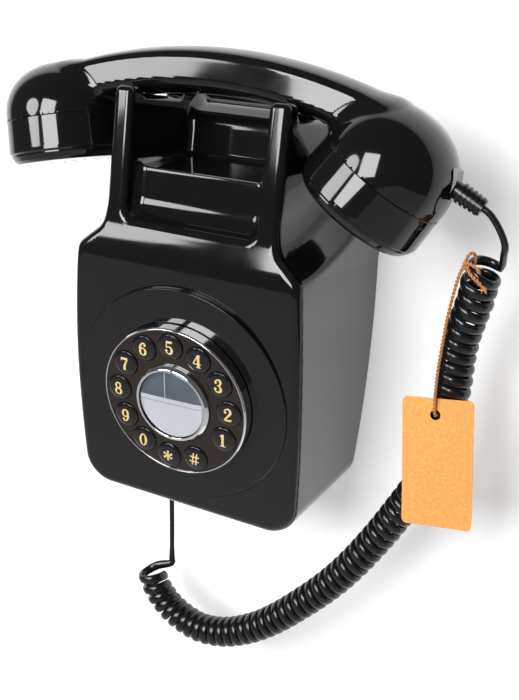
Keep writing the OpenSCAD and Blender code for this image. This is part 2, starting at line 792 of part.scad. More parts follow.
// ---- strain relief and cords ----
relief_from = [104, -hs_d, 77.2];
relief_turn = 90 + atan(1 / 2);
relief_r = 3.8;
relief_l = 20;
module relief_frame() {
  translate(relief_from) rotate([0, relief_turn, 0]) children();
}
module relief_hole(r) {
  relief_frame() rod(r, relief_l + 20, -14);
}
module strain_relief() {
  ribs = 5;
  pitch = 2.3;
  start = relief_l - ribs * pitch;
  color(dark) difference() {
    union() {
      relief_frame() {
        rod(relief_r, relief_l + 3, -3);
        for (i = [0 : ribs - 1]) rod(relief_r + 0.9 - 0.12 * i, pitch * 0.55, start + i * pitch);
      }
      difference() {
        translate([0, -hs_d, 0]) rotate([90, 0, 0]) translate([0, 0, -6]) linear_extrude(12)
          polygon([[99, 88.8], [103.5, 87.8], [110.4, 81.8], [110.4, 76.8], [107.5, 70.4], [101, 70.4]]);
        in_mouth() cup_solid(cup_r + gap / 3, mouth_dome_h + gap / 3);
        in_mouth() rod(cup_r + 4, 30, -30);
      }
    }
    relief_hole(lead_d / 2 + fit);
  }
}
// Sweeps a round tube along hand-set points
function tangent(p, i) = unit(p[min(i + 1, len(p) - 1)] - p[max(i - 1, 0)]);
function tube_ring(p, i, r, n) =
  let (
    t = tangent(p, i),
    u = unit(cross(t, [0, 1, 0])),
    v = cross(t, u)
  )
  [for (j = [0 : n - 1]) p[i] + r * (cos(360 * j / n) * u + sin(360 * j / n) * v)];
module tube(p, r, n) {
  last = len(p) - 1;
  polyhedron([for (i = [0 : last]) each tube_ring(p, i, r, n)], concat(
    [[for (j = [0 : n - 1]) j]],
    [for (i = [0 : last - 1], j = [0 : n - 1])
      let (k = (j + 1) % n) [i * n + k, i * n + j, (i + 1) * n + j, (i + 1) * n + k]],
    [[for (j = [0 : n - 1]) last * n + n - 1 - j]]
  ), convexity = 8);
}
// From inside the strain relief to the top of the curls
LEAD_POINTS = [
  [108, -75.5, 75.2], [116, -75.5, 71.2], [124, -75.5, 67.2], [127.5, -74.8, 63.8], [130.6, -73.4, 59.2],
  [132.6, -71.4, 54.4], [132.4, -67.3, 49.2], [130, -65.7, 43.8]
];
// Down the middle of the curls
CURL_POINTS = [
  [126.5, -66, 44.5], [124, -64, 37.5], [123, -61, 29.5], [121, -58, 20.5], [119, -55, 11], [118, -53, 0],
  [118, -51, -14], [117.5, -49.5, -30], [115, -48, -48.5], [110.5, -47, -65.5], [102.5, -45.5, -83.5],
  [92.5, -44, -103.5], [81, -43, -123.5], [69.5, -42, -140], [56.5, -41, -155.5], [43, -40, -170],
  [29, -39, -182], [13.5, -38, -191], [-1, -37, -195], [-12.5, -36, -194.5], [-23.5, -35.5, -190.5],
  [-32.5, -35, -184], [-38, -34.5, -177]
];
// From the gland in the case down to the loose end of the curls
BASE_POINTS = [
  [-38, -25, -97], [-38, -25, -104], [-37.6, -25, -114], [-36.5, -24.8, -128], [-35.3, -24.4, -142],
  [-34.2, -24, -156], [-33.3, -24, -168], [-33, -25.2, -177], [-34.2, -28.8, -182], [-36, -32, -181],
  [-38, -34.5, -177]
];
// From the top of the curls to the hole in the tag
STRING_POINTS = [
  [119, -68, 43], [117, -71, 37], [116.2, -71.6, 26], [115.6, -70, 14], [115.2, -68.6, 2],
  [115, -67.8, -10], [115.2, -67.4, -18], [115.4, -66.9, -22.4], [115.6, -65.6, -23.6]
];
module handset_lead() {
  color(dark) tube(LEAD_POINTS, lead_d / 2, 8);
}
module curly_cord() {
  color(dark) tube(CURL_POINTS, curl_d / 2, 12);
}
module base_lead() {
  color(dark) tube(BASE_POINTS, lead_d / 2, 8);
}
module tag_string() {
  color(twine) tube(STRING_POINTS, 0.9, 8);
}
tag_w = 32.5;
tag_h = 61;
tag_t = 0.8;
tag_lean = -8.6;
tag_place = [119.4, -65.2, -48.4];
tag_hole_drop = 5.2;
module swing_tag() {
  color(kraft) translate(tag_place) rotate([0, tag_lean, 0]) rotate([90, 0, 0]) difference() {
    linear_extrude(tag_t) polygon(concat(
      arc([tag_w / 2 - 2.5, tag_h / 2 - 2.5], 2.5, 0, 90, 4),
      arc([-tag_w / 2 + 2.5, tag_h / 2 - 2.5], 2.5, 90, 180, 4),
      arc([-tag_w / 2 + 2.5, -tag_h / 2 + 2.5], 2.5, 180, 270, 4),
      arc([tag_w / 2 - 2.5, -tag_h / 2 + 2.5], 2.5, 270, 360, 4)
    ));
    translate([0, tag_h / 2 - tag_hole_drop, -1]) cylinder(r = 1.6, h = tag_t + 2);
  }
}

case_shell();
wall_plate();
case_screws();
dial_surround();
dial_plate();
dial_rim();
label_ring();
label_card();
label_lens();
keypad_frame();
keypad_screws();
keypad_mat();
keypad_board();
main_board();
board_pillars();
board_screws();
transformer();
capacitors();
terminal_block();
ringer_frame();
ringer_coils();
ringer_cores();
gong(-1);  // gong_left
gong(1);  // gong_right
gong_posts();
gong_screws();
clapper();
clapper_pin();
hook_bracket();
hook_screws();
hook_spring();
hook_switch();
hook_yoke();
cord_gland();
button(0);  // button_1
button(1);  // button_2
button(2);  // button_3
button(3);  // button_4
button(4);  // button_5
button(5);  // button_6
button(6);  // button_7
button(7);  // button_8
button(8);  // button_9
button(9);  // button_0
button(10);  // button_star
button(11);  // button_hash
handset_shell();
ear_cap();
mouth_cap();
receiver_capsule();
microphone_capsule();
ballast_weight();
strain_relief();
handset_lead();
curly_cord();
base_lead();
tag_string();
swing_tag();
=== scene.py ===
# %% [markdown]
# # A wall telephone, dressed for its portrait
# The construction model gives every part its place and size. This script gives the parts their looks: moulded
# black plastic, a chrome dial, printed digits, a curly cord and a card tag on a string. Lengths are thought of in
# millimetres, because that is how a moulding is drawn, and become metres when a mesh is made.

import json
import math
import random

import bmesh
import bpy
import numpy as np
from mathutils import Matrix, Vector

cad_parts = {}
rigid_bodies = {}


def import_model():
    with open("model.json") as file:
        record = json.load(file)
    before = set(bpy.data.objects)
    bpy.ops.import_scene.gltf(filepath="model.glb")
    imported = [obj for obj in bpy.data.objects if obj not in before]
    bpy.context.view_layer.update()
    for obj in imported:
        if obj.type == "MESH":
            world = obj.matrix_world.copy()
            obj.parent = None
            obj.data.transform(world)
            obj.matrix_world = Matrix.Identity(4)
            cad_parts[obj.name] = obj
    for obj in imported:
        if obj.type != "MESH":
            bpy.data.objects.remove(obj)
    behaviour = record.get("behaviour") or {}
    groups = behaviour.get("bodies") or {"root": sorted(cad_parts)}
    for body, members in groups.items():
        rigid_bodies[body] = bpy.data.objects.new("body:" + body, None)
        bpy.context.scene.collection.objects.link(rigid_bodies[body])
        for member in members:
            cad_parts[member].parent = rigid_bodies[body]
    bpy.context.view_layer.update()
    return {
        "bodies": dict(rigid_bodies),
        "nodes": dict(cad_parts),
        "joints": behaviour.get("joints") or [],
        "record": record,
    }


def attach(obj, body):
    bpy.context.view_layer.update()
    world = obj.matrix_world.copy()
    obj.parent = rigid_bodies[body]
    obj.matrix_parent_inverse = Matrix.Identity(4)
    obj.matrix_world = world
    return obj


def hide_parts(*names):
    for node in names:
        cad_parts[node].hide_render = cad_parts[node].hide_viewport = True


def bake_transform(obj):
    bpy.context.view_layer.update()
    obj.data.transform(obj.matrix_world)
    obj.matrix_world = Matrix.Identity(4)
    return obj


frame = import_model()
MM = 0.001
TILT = math.radians(12.4)  # how far the telephone's face leans back

# %% [markdown]
# ## The camera
# It stands to the right of the telephone and a little above its middle, close enough for a strong perspective.
# Camera angles are easiest to read as two turns and a slight roll.

# %% Camera
camera_data = bpy.data.cameras.new("portrait")
camera_data.sensor_width = 36
camera_data.lens = 45.805
camera_data.clip_start = 0.01
camera = bpy.data.objects.new("portrait", camera_data)
camera.location = Vector((190.206, -447.445, 100.324)) * MM
right = Vector((0.90083668, 0.42041327, 0.10837878))
up = Vector((-0.20822848, 0.19933102, 0.95755316))
camera.rotation_euler = Matrix((right, up, right.cross(up))).transposed().to_euler()
bpy.context.scene.collection.objects.link(camera)
bpy.context.scene.camera = camera
print("camera turned by", [round(math.degrees(a), 2) for a in camera.rotation_euler])

# %% [markdown]
# ## Finishes
# Moulded phenolic and ABS are almost black, but never perfectly even. Three effects are shared between the finishes, so
# each is a small group of nodes with named inputs: a fine wobble of the gloss, dust that settles on faces that look up,
# and a fine grain.

# %% Shared shader groups
def new_group(name, inputs, outputs):
    group = bpy.data.node_groups.new(name, "ShaderNodeTree")
    for title, kind, value in inputs:
        socket = group.interface.new_socket(title, in_out="INPUT", socket_type="NodeSocket" + kind)
        socket.default_value = value
    for title, kind in outputs:
        group.interface.new_socket(title, in_out="OUTPUT", socket_type="NodeSocket" + kind)
    return group, group.nodes.new("NodeGroupInput"), group.nodes.new("NodeGroupOutput")


def link(tree, source, target):
    """Feeds an input from another node's output, or sets it to a plain value."""
    if hasattr(source, "links"):
        tree.links.new(target, source)
    else:
        target.default_value = source


def noise(tree, vector, scale, detail):
    node = tree.nodes.new("ShaderNodeTexNoise")
    for title, value in (("Vector", vector), ("Scale", scale), ("Detail", detail)):
        link(tree, value, node.inputs[title])
    return node


def spread(tree, source, low, high, to_low, to_high):
    node = tree.nodes.new("ShaderNodeMapRange")
    titles = ("Value", "From Min", "From Max", "To Min", "To Max")
    for title, value in zip(titles, (source, low, high, to_low, to_high)):
        link(tree, value, node.inputs[title])
    return node.outputs["Result"]


def maths(tree, operation, *values):
    node = tree.nodes.new("ShaderNodeMath")
    node.operation = operation
    for value, socket in zip(values, node.inputs):
        link(tree, value, socket)
    return node.outputs["Value"]


def mixed(tree, factor, below, above):
    node = tree.nodes.new("ShaderNodeMix")
    node.data_type = "RGBA"
    for title, value in (("Factor", factor), ("A", below), ("B", above)):
        link(tree, value, node.inputs[title])
    return node.outputs["Result"]


def make_gloss_group():
    """Cloudy gloss: roughness wanders between two values, as on a handled moulding."""
    group, source, sink = new_group(
        "cloudy gloss",
        [("Scale", "Float", 60.0), ("Least", "Float", 0.1), ("Most", "Float", 0.2)],
        [("Roughness", "Float")],
    )
    place = group.nodes.new("ShaderNodeTexCoord")
    cloud = noise(group, place.outputs["Object"], source.outputs["Scale"], 4)
    value = spread(group, cloud.outputs["Fac"], 0.35, 0.7, source.outputs["Least"], source.outputs["Most"])
    link(group, value, sink.inputs["Roughness"])
    return group


def make_dust_group():
    """Specks of dust, only where a surface looks up."""
    group, source, sink = new_group(
        "settled dust",
        [("Colour", "Color", (0, 0, 0, 1)), ("Dust", "Color", (0.3, 0.3, 0.3, 1)), ("Amount", "Float", 0.1)],
        [("Colour", "Color")],
    )
    place = group.nodes.new("ShaderNodeTexCoord")
    specks = noise(group, place.outputs["Object"], 900.0, 6)
    specks = spread(group, specks.outputs["Fac"], 0.62, 0.75, 0.0, 1.0)
    facing = group.nodes.new("ShaderNodeSeparateXYZ")
    link(group, place.outputs["Normal"], facing.inputs["Vector"])
    upward = spread(group, facing.outputs["Z"], 0.3, 1.0, 0.0, 1.0)
    amount = maths(group, "MULTIPLY", maths(group, "MULTIPLY", specks, upward), source.outputs["Amount"])
    link(group, mixed(group, amount, source.outputs["Colour"], source.outputs["Dust"]), sink.inputs["Colour"])
    return group


def make_grain_group():
    """Fine bumps as a height, with a size in bumps per metre."""
    group, source, sink = new_group(
        "fine grain",
        [("Scale", "Float", 1500.0), ("Detail", "Float", 3.0)],
        [("Height", "Float"), ("Mask", "Float")],
    )
    place = group.nodes.new("ShaderNodeTexCoord")
    grain = noise(group, place.outputs["Object"], source.outputs["Scale"], 3)
    link(group, source.outputs["Detail"], grain.inputs["Detail"])
    link(group, grain.outputs["Fac"], sink.inputs["Height"])
    link(group, spread(group, grain.outputs["Fac"], 0.4, 0.65, 0.0, 1.0), sink.inputs["Mask"])
    return group


GLOSS, DUST, GRAIN = make_gloss_group(), make_dust_group(), make_grain_group()
print("shader groups:", GLOSS.name, DUST.name, GRAIN.name)


# %% Materials made from the groups
def place_group(tree, group, **values):
    node = tree.nodes.new("ShaderNodeGroup")
    node.node_tree = group
    for key, value in values.items():
        node.inputs[key].default_value = value
    return node


def new_material(name, colour, metallic=0.0, ior=1.5):
    material = bpy.data.materials.new(name)
    material.use_nodes = True
    shader = material.node_tree.nodes["Principled BSDF"]
    shader.inputs["Base Color"].default_value = (*colour, 1)
    shader.inputs["Metallic"].default_value = metallic
    shader.inputs["IOR"].default_value = ior
    return material, material.node_tree, shader


def plastic(name, colour, least, most, dust=0.0, scale=60.0, grain=0.0):
    """Moulded plastic: cloudy gloss, a little dust, and grain where the tool was etched."""
    material, tree, shader = new_material(name, colour)
    gloss = place_group(tree, GLOSS, Scale=scale, Least=least, Most=most)
    link(tree, gloss.outputs["Roughness"], shader.inputs["Roughness"])
    settled = place_group(tree, DUST, Colour=(*colour, 1), Amount=dust)
    link(tree, settled.outputs["Colour"], shader.inputs["Base Color"])
    if grain:
        add_bump(tree, shader, place_group(tree, GRAIN).outputs["Height"], grain)
    return material


def add_bump(tree, shader, height, distance, strength=1.0):
    bump = tree.nodes.new("ShaderNodeBump")
    bump.inputs["Distance"].default_value = distance
    bump.inputs["Strength"].default_value = strength
    link(tree, height, bump.inputs["Height"])
    link(tree, bump.outputs["Normal"], shader.inputs["Normal"])


def metal(name, colour, least, most, grain=0.0, scale=200.0):
    """Plated or rolled metal."""
    material, tree, shader = new_material(name, colour, metallic=1.0)
    gloss = place_group(tree, GLOSS, Scale=scale, Least=least, Most=most)
    link(tree, gloss.outputs["Roughness"], shader.inputs["Roughness"])
    if grain:
        add_bump(tree, shader, place_group(tree, GRAIN, Scale=3000.0).outputs["Height"], grain)
    return material


FINISH = {
    "gloss_black": plastic("moulded black", (0.0045, 0.0045, 0.005), 0.05, 0.11, dust=0.05, scale=45.0),
    "black_fittings": plastic("black fittings", (0.022, 0.022, 0.024), 0.38, 0.5, grain=0.00004),
    "button_black": plastic("polished button", (0.008, 0.008, 0.009), 0.04, 0.09, scale=120.0),
    "cord_rubber": plastic("cord sleeve", (0.006, 0.006, 0.007), 0.18, 0.27, scale=300.0, grain=0.00001),
    "rubber_mat": plastic("rubber mat", (0.09, 0.09, 0.10), 0.6, 0.75, grain=0.00003),
    "board_green": plastic("printed board", (0.02, 0.11, 0.045), 0.3, 0.5, scale=500.0),
    "blue_can": plastic("capacitor sleeve", (0.03, 0.07, 0.2), 0.25, 0.4),
    "pale_plastic": plastic("pale nylon", (0.62, 0.6, 0.52), 0.45, 0.6, grain=0.00003),
    "bright_chrome": metal("bright chrome", (0.83, 0.84, 0.86), 0.03, 0.07),
    "zinc_steel": metal("zinc plate", (0.52, 0.54, 0.57), 0.25, 0.45, grain=0.00002),
    "bell_metal": metal("bell metal", (0.62, 0.43, 0.17), 0.15, 0.3),
    "dial_brown": plastic("dial brown", (0.014, 0.008, 0.005), 0.08, 0.16, scale=80.0, dust=0.02),
    "coil_copper": metal("enamelled wire", (0.42, 0.17, 0.07), 0.25, 0.4, grain=0.00004),
}


def fibrous(name, pale, dark, size, rough, depth):
    """Paper, card or twine: two shades that wander together with a fine fibrous bump."""
    material, tree, shader = new_material(name, pale)
    shader.inputs["Roughness"].default_value = rough
    grain = place_group(tree, GRAIN, Scale=size, Detail=6.0)
    link(tree, mixed(tree, grain.outputs["Mask"], (*dark, 1), (*pale, 1)), shader.inputs["Base Color"])
    add_bump(tree, shader, grain.outputs["Height"], depth)
    return material


def label_card_paper():
    """White paper, with a grey-blue field above a level line and two fine rules."""
    paper, blue = (0.75, 0.76, 0.78), (0.09, 0.115, 0.145)
    level_grey, stripe_grey = (0.2, 0.22, 0.25), (0.7, 0.72, 0.75)
    middle_y, middle_z = -0.0938, -0.038
    material, tree, shader = new_material("printed label", paper)
    shader.inputs["Roughness"].default_value = 0.35
    place = tree.nodes.new("ShaderNodeTexCoord")

    def reach(direction, offset):
        dot = tree.nodes.new("ShaderNodeVectorMath")
        dot.operation = "DOT_PRODUCT"
        dot.inputs[1].default_value = direction
        link(tree, place.outputs["Object"], dot.inputs[0])
        return maths(tree, "SUBTRACT", dot.outputs["Value"], offset)

    lean = (-math.sin(TILT), math.cos(TILT))
    up = reach((-0.03, *lean), middle_y * lean[0] + middle_z * lean[1])
    across = reach((1, 0, 0), -0.0036)
    field = maths(tree, "GREATER_THAN", up, 0.0027)
    rule = maths(tree, "LESS_THAN", maths(tree, "ABSOLUTE", maths(tree, "SUBTRACT", up, 0.0002)), 0.00014)
    stripe = maths(tree, "MULTIPLY", maths(tree, "LESS_THAN", maths(tree, "ABSOLUTE", across), 0.00022), field)
    shade = (*paper, 1)
    for mask, colour in ((field, blue), (rule, level_grey), (stripe, stripe_grey)):
        shade = mixed(tree, mask, shade, (*colour, 1))
    link(tree, shade, shader.inputs["Base Color"])
    add_bump(tree, shader, place_group(tree, GRAIN, Scale=1800.0).outputs["Height"], 0.00001)
    return material


FINISH["label_paper"] = label_card_paper()
FINISH["kraft_card"] = fibrous("kraft card", (0.88, 0.39, 0.105), (0.78, 0.32, 0.075), 700.0, 0.75, 0.00005)
FINISH["twine"] = fibrous("orange twine", (0.66, 0.29, 0.09), (0.45, 0.18, 0.055), 2600.0, 0.85, 0.0001)
print(len(FINISH), "finishes so far")

# %% [markdown]
# ## Making a mesh from points
# Every piece below ends as a plain mesh at the origin with its place in its points. One helper does that: it takes
# points in millimetres and faces, and puts the piece into the scene.

# %% Mesh helper
def piece(name, points, faces, material, body="housing", smooth=True, replaces=()):
    mesh = bpy.data.meshes.new(name)
    mesh.from_pydata([tuple(p) for p in np.asarray(points, float) * MM], [], [tuple(f) for f in faces])
    mesh.materials.append(material)
    for polygon in mesh.polygons:
        polygon.use_smooth = smooth
    obj = bpy.data.objects.new(name, mesh)
    bpy.context.scene.collection.objects.link(obj)
    settle(obj, body, replaces)
    return obj


def settle(obj, body, replaces=()):
    if body:
        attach(obj, body)
    if replaces:
        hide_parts(*replaces)


# %% [markdown]
# ## The cord
# One flat cord leaves the bottom of the case, curls in a long coil up to the right and ends in the handset. It is
# drawn as a single tube that follows one line: a straight lead, about sixty turns of a left-handed helix, and a
# second lead. A helix is a rule, so its points come from the middle line of the coil and an angle that grows with
# the distance along it. The turns are closer where the coil hangs and looser at both ends.

# %% The middle line of each stretch
BASE_LINE = [
    (-38, -25, -97), (-38, -25, -104), (-37.6, -25, -114), (-36.5, -24.8, -128), (-35.3, -24.4, -142),
    (-34.2, -24, -156), (-33.4, -24, -165), (-33.4, -24.2, -169),
]  # fmt: skip
CURL_LINE = [
    (126.5, -66, 44.5), (124, -64, 37.5), (123, -61, 29.5), (121, -58, 20.5), (119, -55, 11), (118, -53, 0),
    (118, -51, -14), (117.5, -49.5, -30), (115, -48, -48.5), (110.5, -47, -65.5), (102.5, -45.5, -83.5),
    (92.5, -44, -103.5), (81, -43, -123.5), (69.5, -42, -140), (56.5, -41, -155.5), (43, -40, -170),
    (29, -39, -182), (13.5, -38, -191), (-1, -37, -195), (-12.5, -36, -194.5), (-23.5, -35.5, -190.5),
    (-32.5, -35, -184), (-38, -34.5, -177), (-42.4, -34, -169),
]  # fmt: skip
LEAD_LINE = [
    (132.4, -68.6, 50.6), (132.6, -71.4, 54.4), (130.6, -73.4, 59.2), (127.5, -74.8, 63.8), (124, -75.5, 67.2),
    (116, -75.5, 71.2), (108, -75.5, 75.2), (104, -75.5, 77.2),
]  # fmt: skip


def smooth_line(points, spacing):
    """A Catmull-Rom line through the points, resampled so that its points lie evenly."""
    p = np.asarray(points, float)
    ends = np.vstack([2 * p[0] - p[1], p, 2 * p[-1] - p[-2]])
    fine = []
    for a, b, c, d in zip(ends, ends[1:], ends[2:], ends[3:]):
        for t in np.linspace(0, 1, 24, endpoint=False):
            bend = 2 * b + (c - a) * t + (2 * a - 5 * b + 4 * c - d) * t**2 + (3 * b - a - 3 * c + d) * t**3
            fine.append(0.5 * bend)
    fine = np.array(fine + [p[-1]])
    along = np.concatenate([[0], np.cumsum(np.linalg.norm(np.diff(fine, axis=0), axis=1))])
    count = max(2, int(round(along[-1] / spacing)))
    at = np.linspace(0, along[-1], count + 1)
    return np.stack([np.interp(at, along, fine[:, k]) for k in range(3)], 1)


def steady_frames(line, first=(0, 1, 0)):
    """A direction across the line at each point that never spins about it."""
    ahead = np.gradient(line, axis=0)
    ahead /= np.linalg.norm(ahead, axis=1)[:, None]
    across = np.zeros_like(line)
    last = np.asarray(first, float)
    for i, t in enumerate(ahead):
        last = last - t * (last @ t)
        last /= np.linalg.norm(last)
        across[i] = last
    return ahead, across, np.cross(ahead, across)


# %% [markdown]
# The coil's turns are counted along its middle line, and the phase is set so that the last turn ends on the right,
# where the lead to the handset takes over. The strand itself is oval: about 5 mm along the coil and 2.9 mm thick.

# %% One line for the whole cord
COIL_R = 7.0
TURN_POINTS = 20
CURL_STEP = 0.25
PITCH_AT = [0, 0.02, 0.05, 0.1, 0.45, 0.75, 0.95, 1.0]
PITCHES = [8.5, 7.0, 5.5, 5.2, 5.5, 5.6, 5.9, 6.4]
curl = smooth_line(CURL_LINE[::-1], CURL_STEP)
curl_ahead, curl_u, curl_v = steady_frames(curl)
pitch = np.interp(np.linspace(0, 1, len(curl)), PITCH_AT, PITCHES)
turns = np.concatenate([[0], np.cumsum(CURL_STEP / pitch[1:])])
steps = np.arange(0, turns[-1], 1 / TURN_POINTS)
place = np.interp(steps, turns, np.arange(len(curl)))


def along_curl(values):
    return np.stack([np.interp(place, np.arange(len(curl)), values[:, k]) for k in range(3)], 1)


to_lead = np.array((0.93, 0.25, -0.3))
end_angle = math.atan2(to_lead @ curl_v[-1], to_lead @ curl_u[-1])
angles = end_angle + (steps[-1] - steps) * 2 * np.pi
wheel = np.cos(angles)[:, None] * along_curl(curl_u) + np.sin(angles)[:, None] * along_curl(curl_v)
coil_line = along_curl(curl) + COIL_R * wheel

# The base lead comes from above, so it joins the first turn where that turn runs most steeply down.
climb = np.gradient(coil_line, axis=0)[:TURN_POINTS]
drop = -climb[:, 2] / np.linalg.norm(climb, axis=1)
JOIN = 3 + int(drop[3:-3].argmax())
base_line = smooth_line(BASE_LINE + [tuple(coil_line[JOIN]), tuple(coil_line[JOIN + 3])], 1.5)
base_line = base_line[np.linalg.norm(base_line - coil_line[JOIN], axis=1).argmin() :: -1][::-1]
lead_line = smooth_line([tuple(coil_line[-6]), tuple(coil_line[-3])] + LEAD_LINE, 1.5)
lead_line = lead_line[np.linalg.norm(lead_line - coil_line[-3], axis=1).argmin() :]
cord_line = np.vstack([base_line, coil_line[JOIN + 1 : -3], lead_line])
print(f"coil: {turns[-1]:.1f} turns, joined by the base lead at {coil_line[JOIN].round(1)}")


# %% The cord's mesh
def tube(line, half_wide, half_thick, wide, sides=12):
    """An oval tube along a line. wide is the direction of the oval's long side at each point."""
    ahead = np.gradient(line, axis=0)
    ahead /= np.linalg.norm(ahead, axis=1)[:, None]
    wide = wide - ahead * np.sum(wide * ahead, axis=1)[:, None]
    wide /= np.linalg.norm(wide, axis=1)[:, None]
    thin = np.cross(ahead, wide)
    around = np.arange(sides) * 2 * np.pi / sides
    c, s = np.cos(around), np.sin(around)
    half_wide = np.broadcast_to(half_wide, len(line))[:, None, None]
    half_thick = np.broadcast_to(half_thick, len(line))[:, None, None]
    rings = line[:, None] + half_wide * c[None, :, None] * wide[:, None] + half_thick * s[None, :, None] * thin[:, None]
    n, k = len(line), sides
    faces = [
        (i * k + j, i * k + (j + 1) % k, (i + 1) * k + (j + 1) % k, (i + 1) * k + j)
        for i in range(n - 1)
        for j in range(k)
    ]
    faces += [tuple(range(k))[::-1], tuple((n - 1) * k + j for j in range(k))]
    return rings.reshape(-1, 3), faces


n_base, n_coil, n_lead = len(base_line), len(coil_line[JOIN + 1 : -3]), len(lead_line)
coil_wide = along_curl(curl_ahead)[JOIN + 1 : -3]
base_turn = np.linspace(0, 1, n_base)[:, None]
base_wide = (1 - base_turn) * np.array((0.95, 0.3, 0)) + base_turn * coil_wide[0]
lead_turn = np.linspace(0, 1, n_lead)[:, None]
lead_wide = (1 - lead_turn) * coil_wide[-1] + lead_turn * np.array((0, -1.0, 0))
wide = np.vstack([base_wide, coil_wide, lead_wide])
BASE_HALF, COIL_HALF, LEAD_HALF = (1.5, 1.1), (2.55, 1.45), (1.6, 1.45)
EARLY, EASED = 8, 11


def half_sizes(base, coil, lead):
    """One half size along the cord. The coil's size starts a little early and each change is spread out."""
    sizes = np.concatenate([np.full(n_base - EARLY, base), np.full(n_coil + EARLY, coil), np.full(n_lead, lead)])
    return np.convolve(np.pad(sizes, EASED // 2, mode="edge"), np.ones(EASED) / EASED, "valid")


half_wide, half_thick = (half_sizes(*sizes) for sizes in zip(BASE_HALF, COIL_HALF, LEAD_HALF))
points, faces = tube(cord_line, half_wide, half_thick, wide)
cord = piece(
    "coiled_cord", points, faces, FINISH["cord_rubber"], body=None,
    replaces=("base_lead", "curly_cord", "handset_lead"),
)  # fmt: skip
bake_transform(cord)

# %% [markdown]
# ## Moulded shells
# A plastic moulding is a few simple forms whose edges all run into each other in soft radii. That is hard to draw by
# moving points, and easy to write down as distances: each form says how far a place is from its skin, and two forms
# are joined with a rounded corner of a chosen radius. A mesh is then laid over the places where the distance is
# zero, each point is pulled exactly onto the skin, and the skin's own slope gives perfectly smooth shading.

# %% Joining two distances with a radius
def round_max(a, b, r):
    """Where both forms are solid, with the edge rounded."""
    return np.minimum(np.maximum(a, b), -r) + np.hypot(np.maximum(a + r, 0), np.maximum(b + r, 0))


def round_min(a, b, r):
    """Where either form is solid, with the inside corner filled."""
    return -round_max(-a, -b, r)


def soft_max(a, b, k):
    """A wide gentle bend between two faces that are nearly in line."""
    h = np.maximum(k - np.abs(a - b), 0) / k
    return np.maximum(a, b) + h * h * k / 4


def slope_of(field, p, e=0.02):
    g = [
        field(*(p + e * np.eye(3)[k]).T) - field(*(p - e * np.eye(3)[k]).T)
        for k in range(3)
    ]
    return np.stack(g, 1) / (2 * e)


# %% Laying a mesh over a distance field
def surface(field, low, high, step, cuts=()):
    """One point for each cell of a grid that the skin passes through. cuts are flat faces, as (direction, offset)."""

    def whole(x, y, z):
        value = field(x, y, z)
        for n, offset in cuts:
            value = np.maximum(value, n[0] * x + n[1] * y + n[2] * z - offset)
        return value

    axes = [np.arange(a, b + step, step) for a, b in zip(low, high)]
    v = whole(*np.meshgrid(*axes, indexing="ij"))
    size = np.array(v.shape)
    total, count = np.zeros((*(size - 1), 3)), np.zeros(size - 1)
    quads = []
    for a in range(3):
        u, w = (a + 1) % 3, (a + 2) % 3
        start, end = [slice(None)] * 3, [slice(None)] * 3
        start[a], end[a] = slice(0, -1), slice(1, None)
        v0, v1 = v[tuple(start)], v[tuple(end)]
        cross = (v0 < 0) != (v1 < 0)
        t = np.where(cross, v0 / np.where(cross, v0 - v1, 1), 0)
        for du in (0, 1):
            for dw in (0, 1):
                part = [slice(None)] * 3
                part[u] = slice(du, size[u] - 1 + du)
                part[w] = slice(dw, size[w] - 1 + dw)
                hit = cross[tuple(part)]
                count += hit
                total[..., a] += t[tuple(part)]
                total[..., u] += du * hit
                total[..., w] += dw * hit
        at = np.argwhere(cross)
        at = at[(at[:, u] > 0) & (at[:, w] > 0) & (at[:, u] < size[u] - 1) & (at[:, w] < size[w] - 1)]
        one, two = np.eye(3, dtype=int)[u], np.eye(3, dtype=int)[w]
        ring = np.stack([at - one - two, at - two, at, at - one], 1)
        outward = v0[tuple(at.T)] < 0
        ring[~outward] = ring[~outward][:, ::-1]
        quads.append(ring)
    cells = np.argwhere(count > 0)
    number = np.full(size - 1, -1)
    number[tuple(cells.T)] = np.arange(len(cells))
    p = cells + total[tuple(cells.T)] / count[tuple(cells.T)][:, None]
    p = np.array([a[0] for a in axes]) + p * step
    for _ in range(5):
        g = slope_of(whole, p)
        move = (whole(*p.T) / np.maximum(np.sum(g * g, 1), 0.05))[:, None] * g
        far = np.linalg.norm(move, axis=1)[:, None]
        p = p - move * np.minimum(1, 0.6 * step / np.maximum(far, 1e-9))
    for n, offset in cuts:
        n = np.asarray(n, float)
        edge = (np.abs(p @ n - offset) < 0.75 * step) & (np.abs(field(*p.T)) < 0.75 * step)
        q = p[edge]
        for _ in range(8):
            q = q - ((q @ n) - offset)[:, None] * n
            g = slope_of(field, q)
            q = q - (field(*q.T) / np.maximum(np.sum(g * g, 1), 0.05))[:, None] * g
        q = q - ((q @ n) - offset)[:, None] * n
        p[edge] = q
    quads = np.concatenate(quads)
    faces = number[quads[..., 0], quads[..., 1], quads[..., 2]]
    return p, faces, slope_of(field, p)


def shade(mesh, slope):
    """Shades a mesh by the slope at its points, and flat where a face was cut across it."""
    normal = slope / np.maximum(np.linalg.norm(slope, axis=1), 1e-9)[:, None]
    flat = np.zeros(len(mesh.polygons) * 3)
    sides, ends = np.zeros(len(mesh.polygons), int), np.zeros(len(mesh.loops), int)
    mesh.polygons.foreach_get("normal", flat)
    mesh.polygons.foreach_get("loop_total", sides)
    mesh.loops.foreach_get("vertex_index", ends)
    flat, corners = np.repeat(flat.reshape(-1, 3), sides, axis=0), normal[ends]
    corners = np.where(np.sum(corners * flat, axis=1, keepdims=True) > 0.8, corners, flat)
    mesh.normals_split_custom_set(corners.tolist())


def moulding(name, made, material, body, replaces):
    """A piece from a field's mesh, shaded by the field's own slope."""
    p, faces, slope = made
    obj = piece(name, p, faces.tolist(), material, body, replaces=replaces)
    shade(obj.data, slope)
    print(f"{name}: {len(obj.data.polygons)} faces")
    return obj


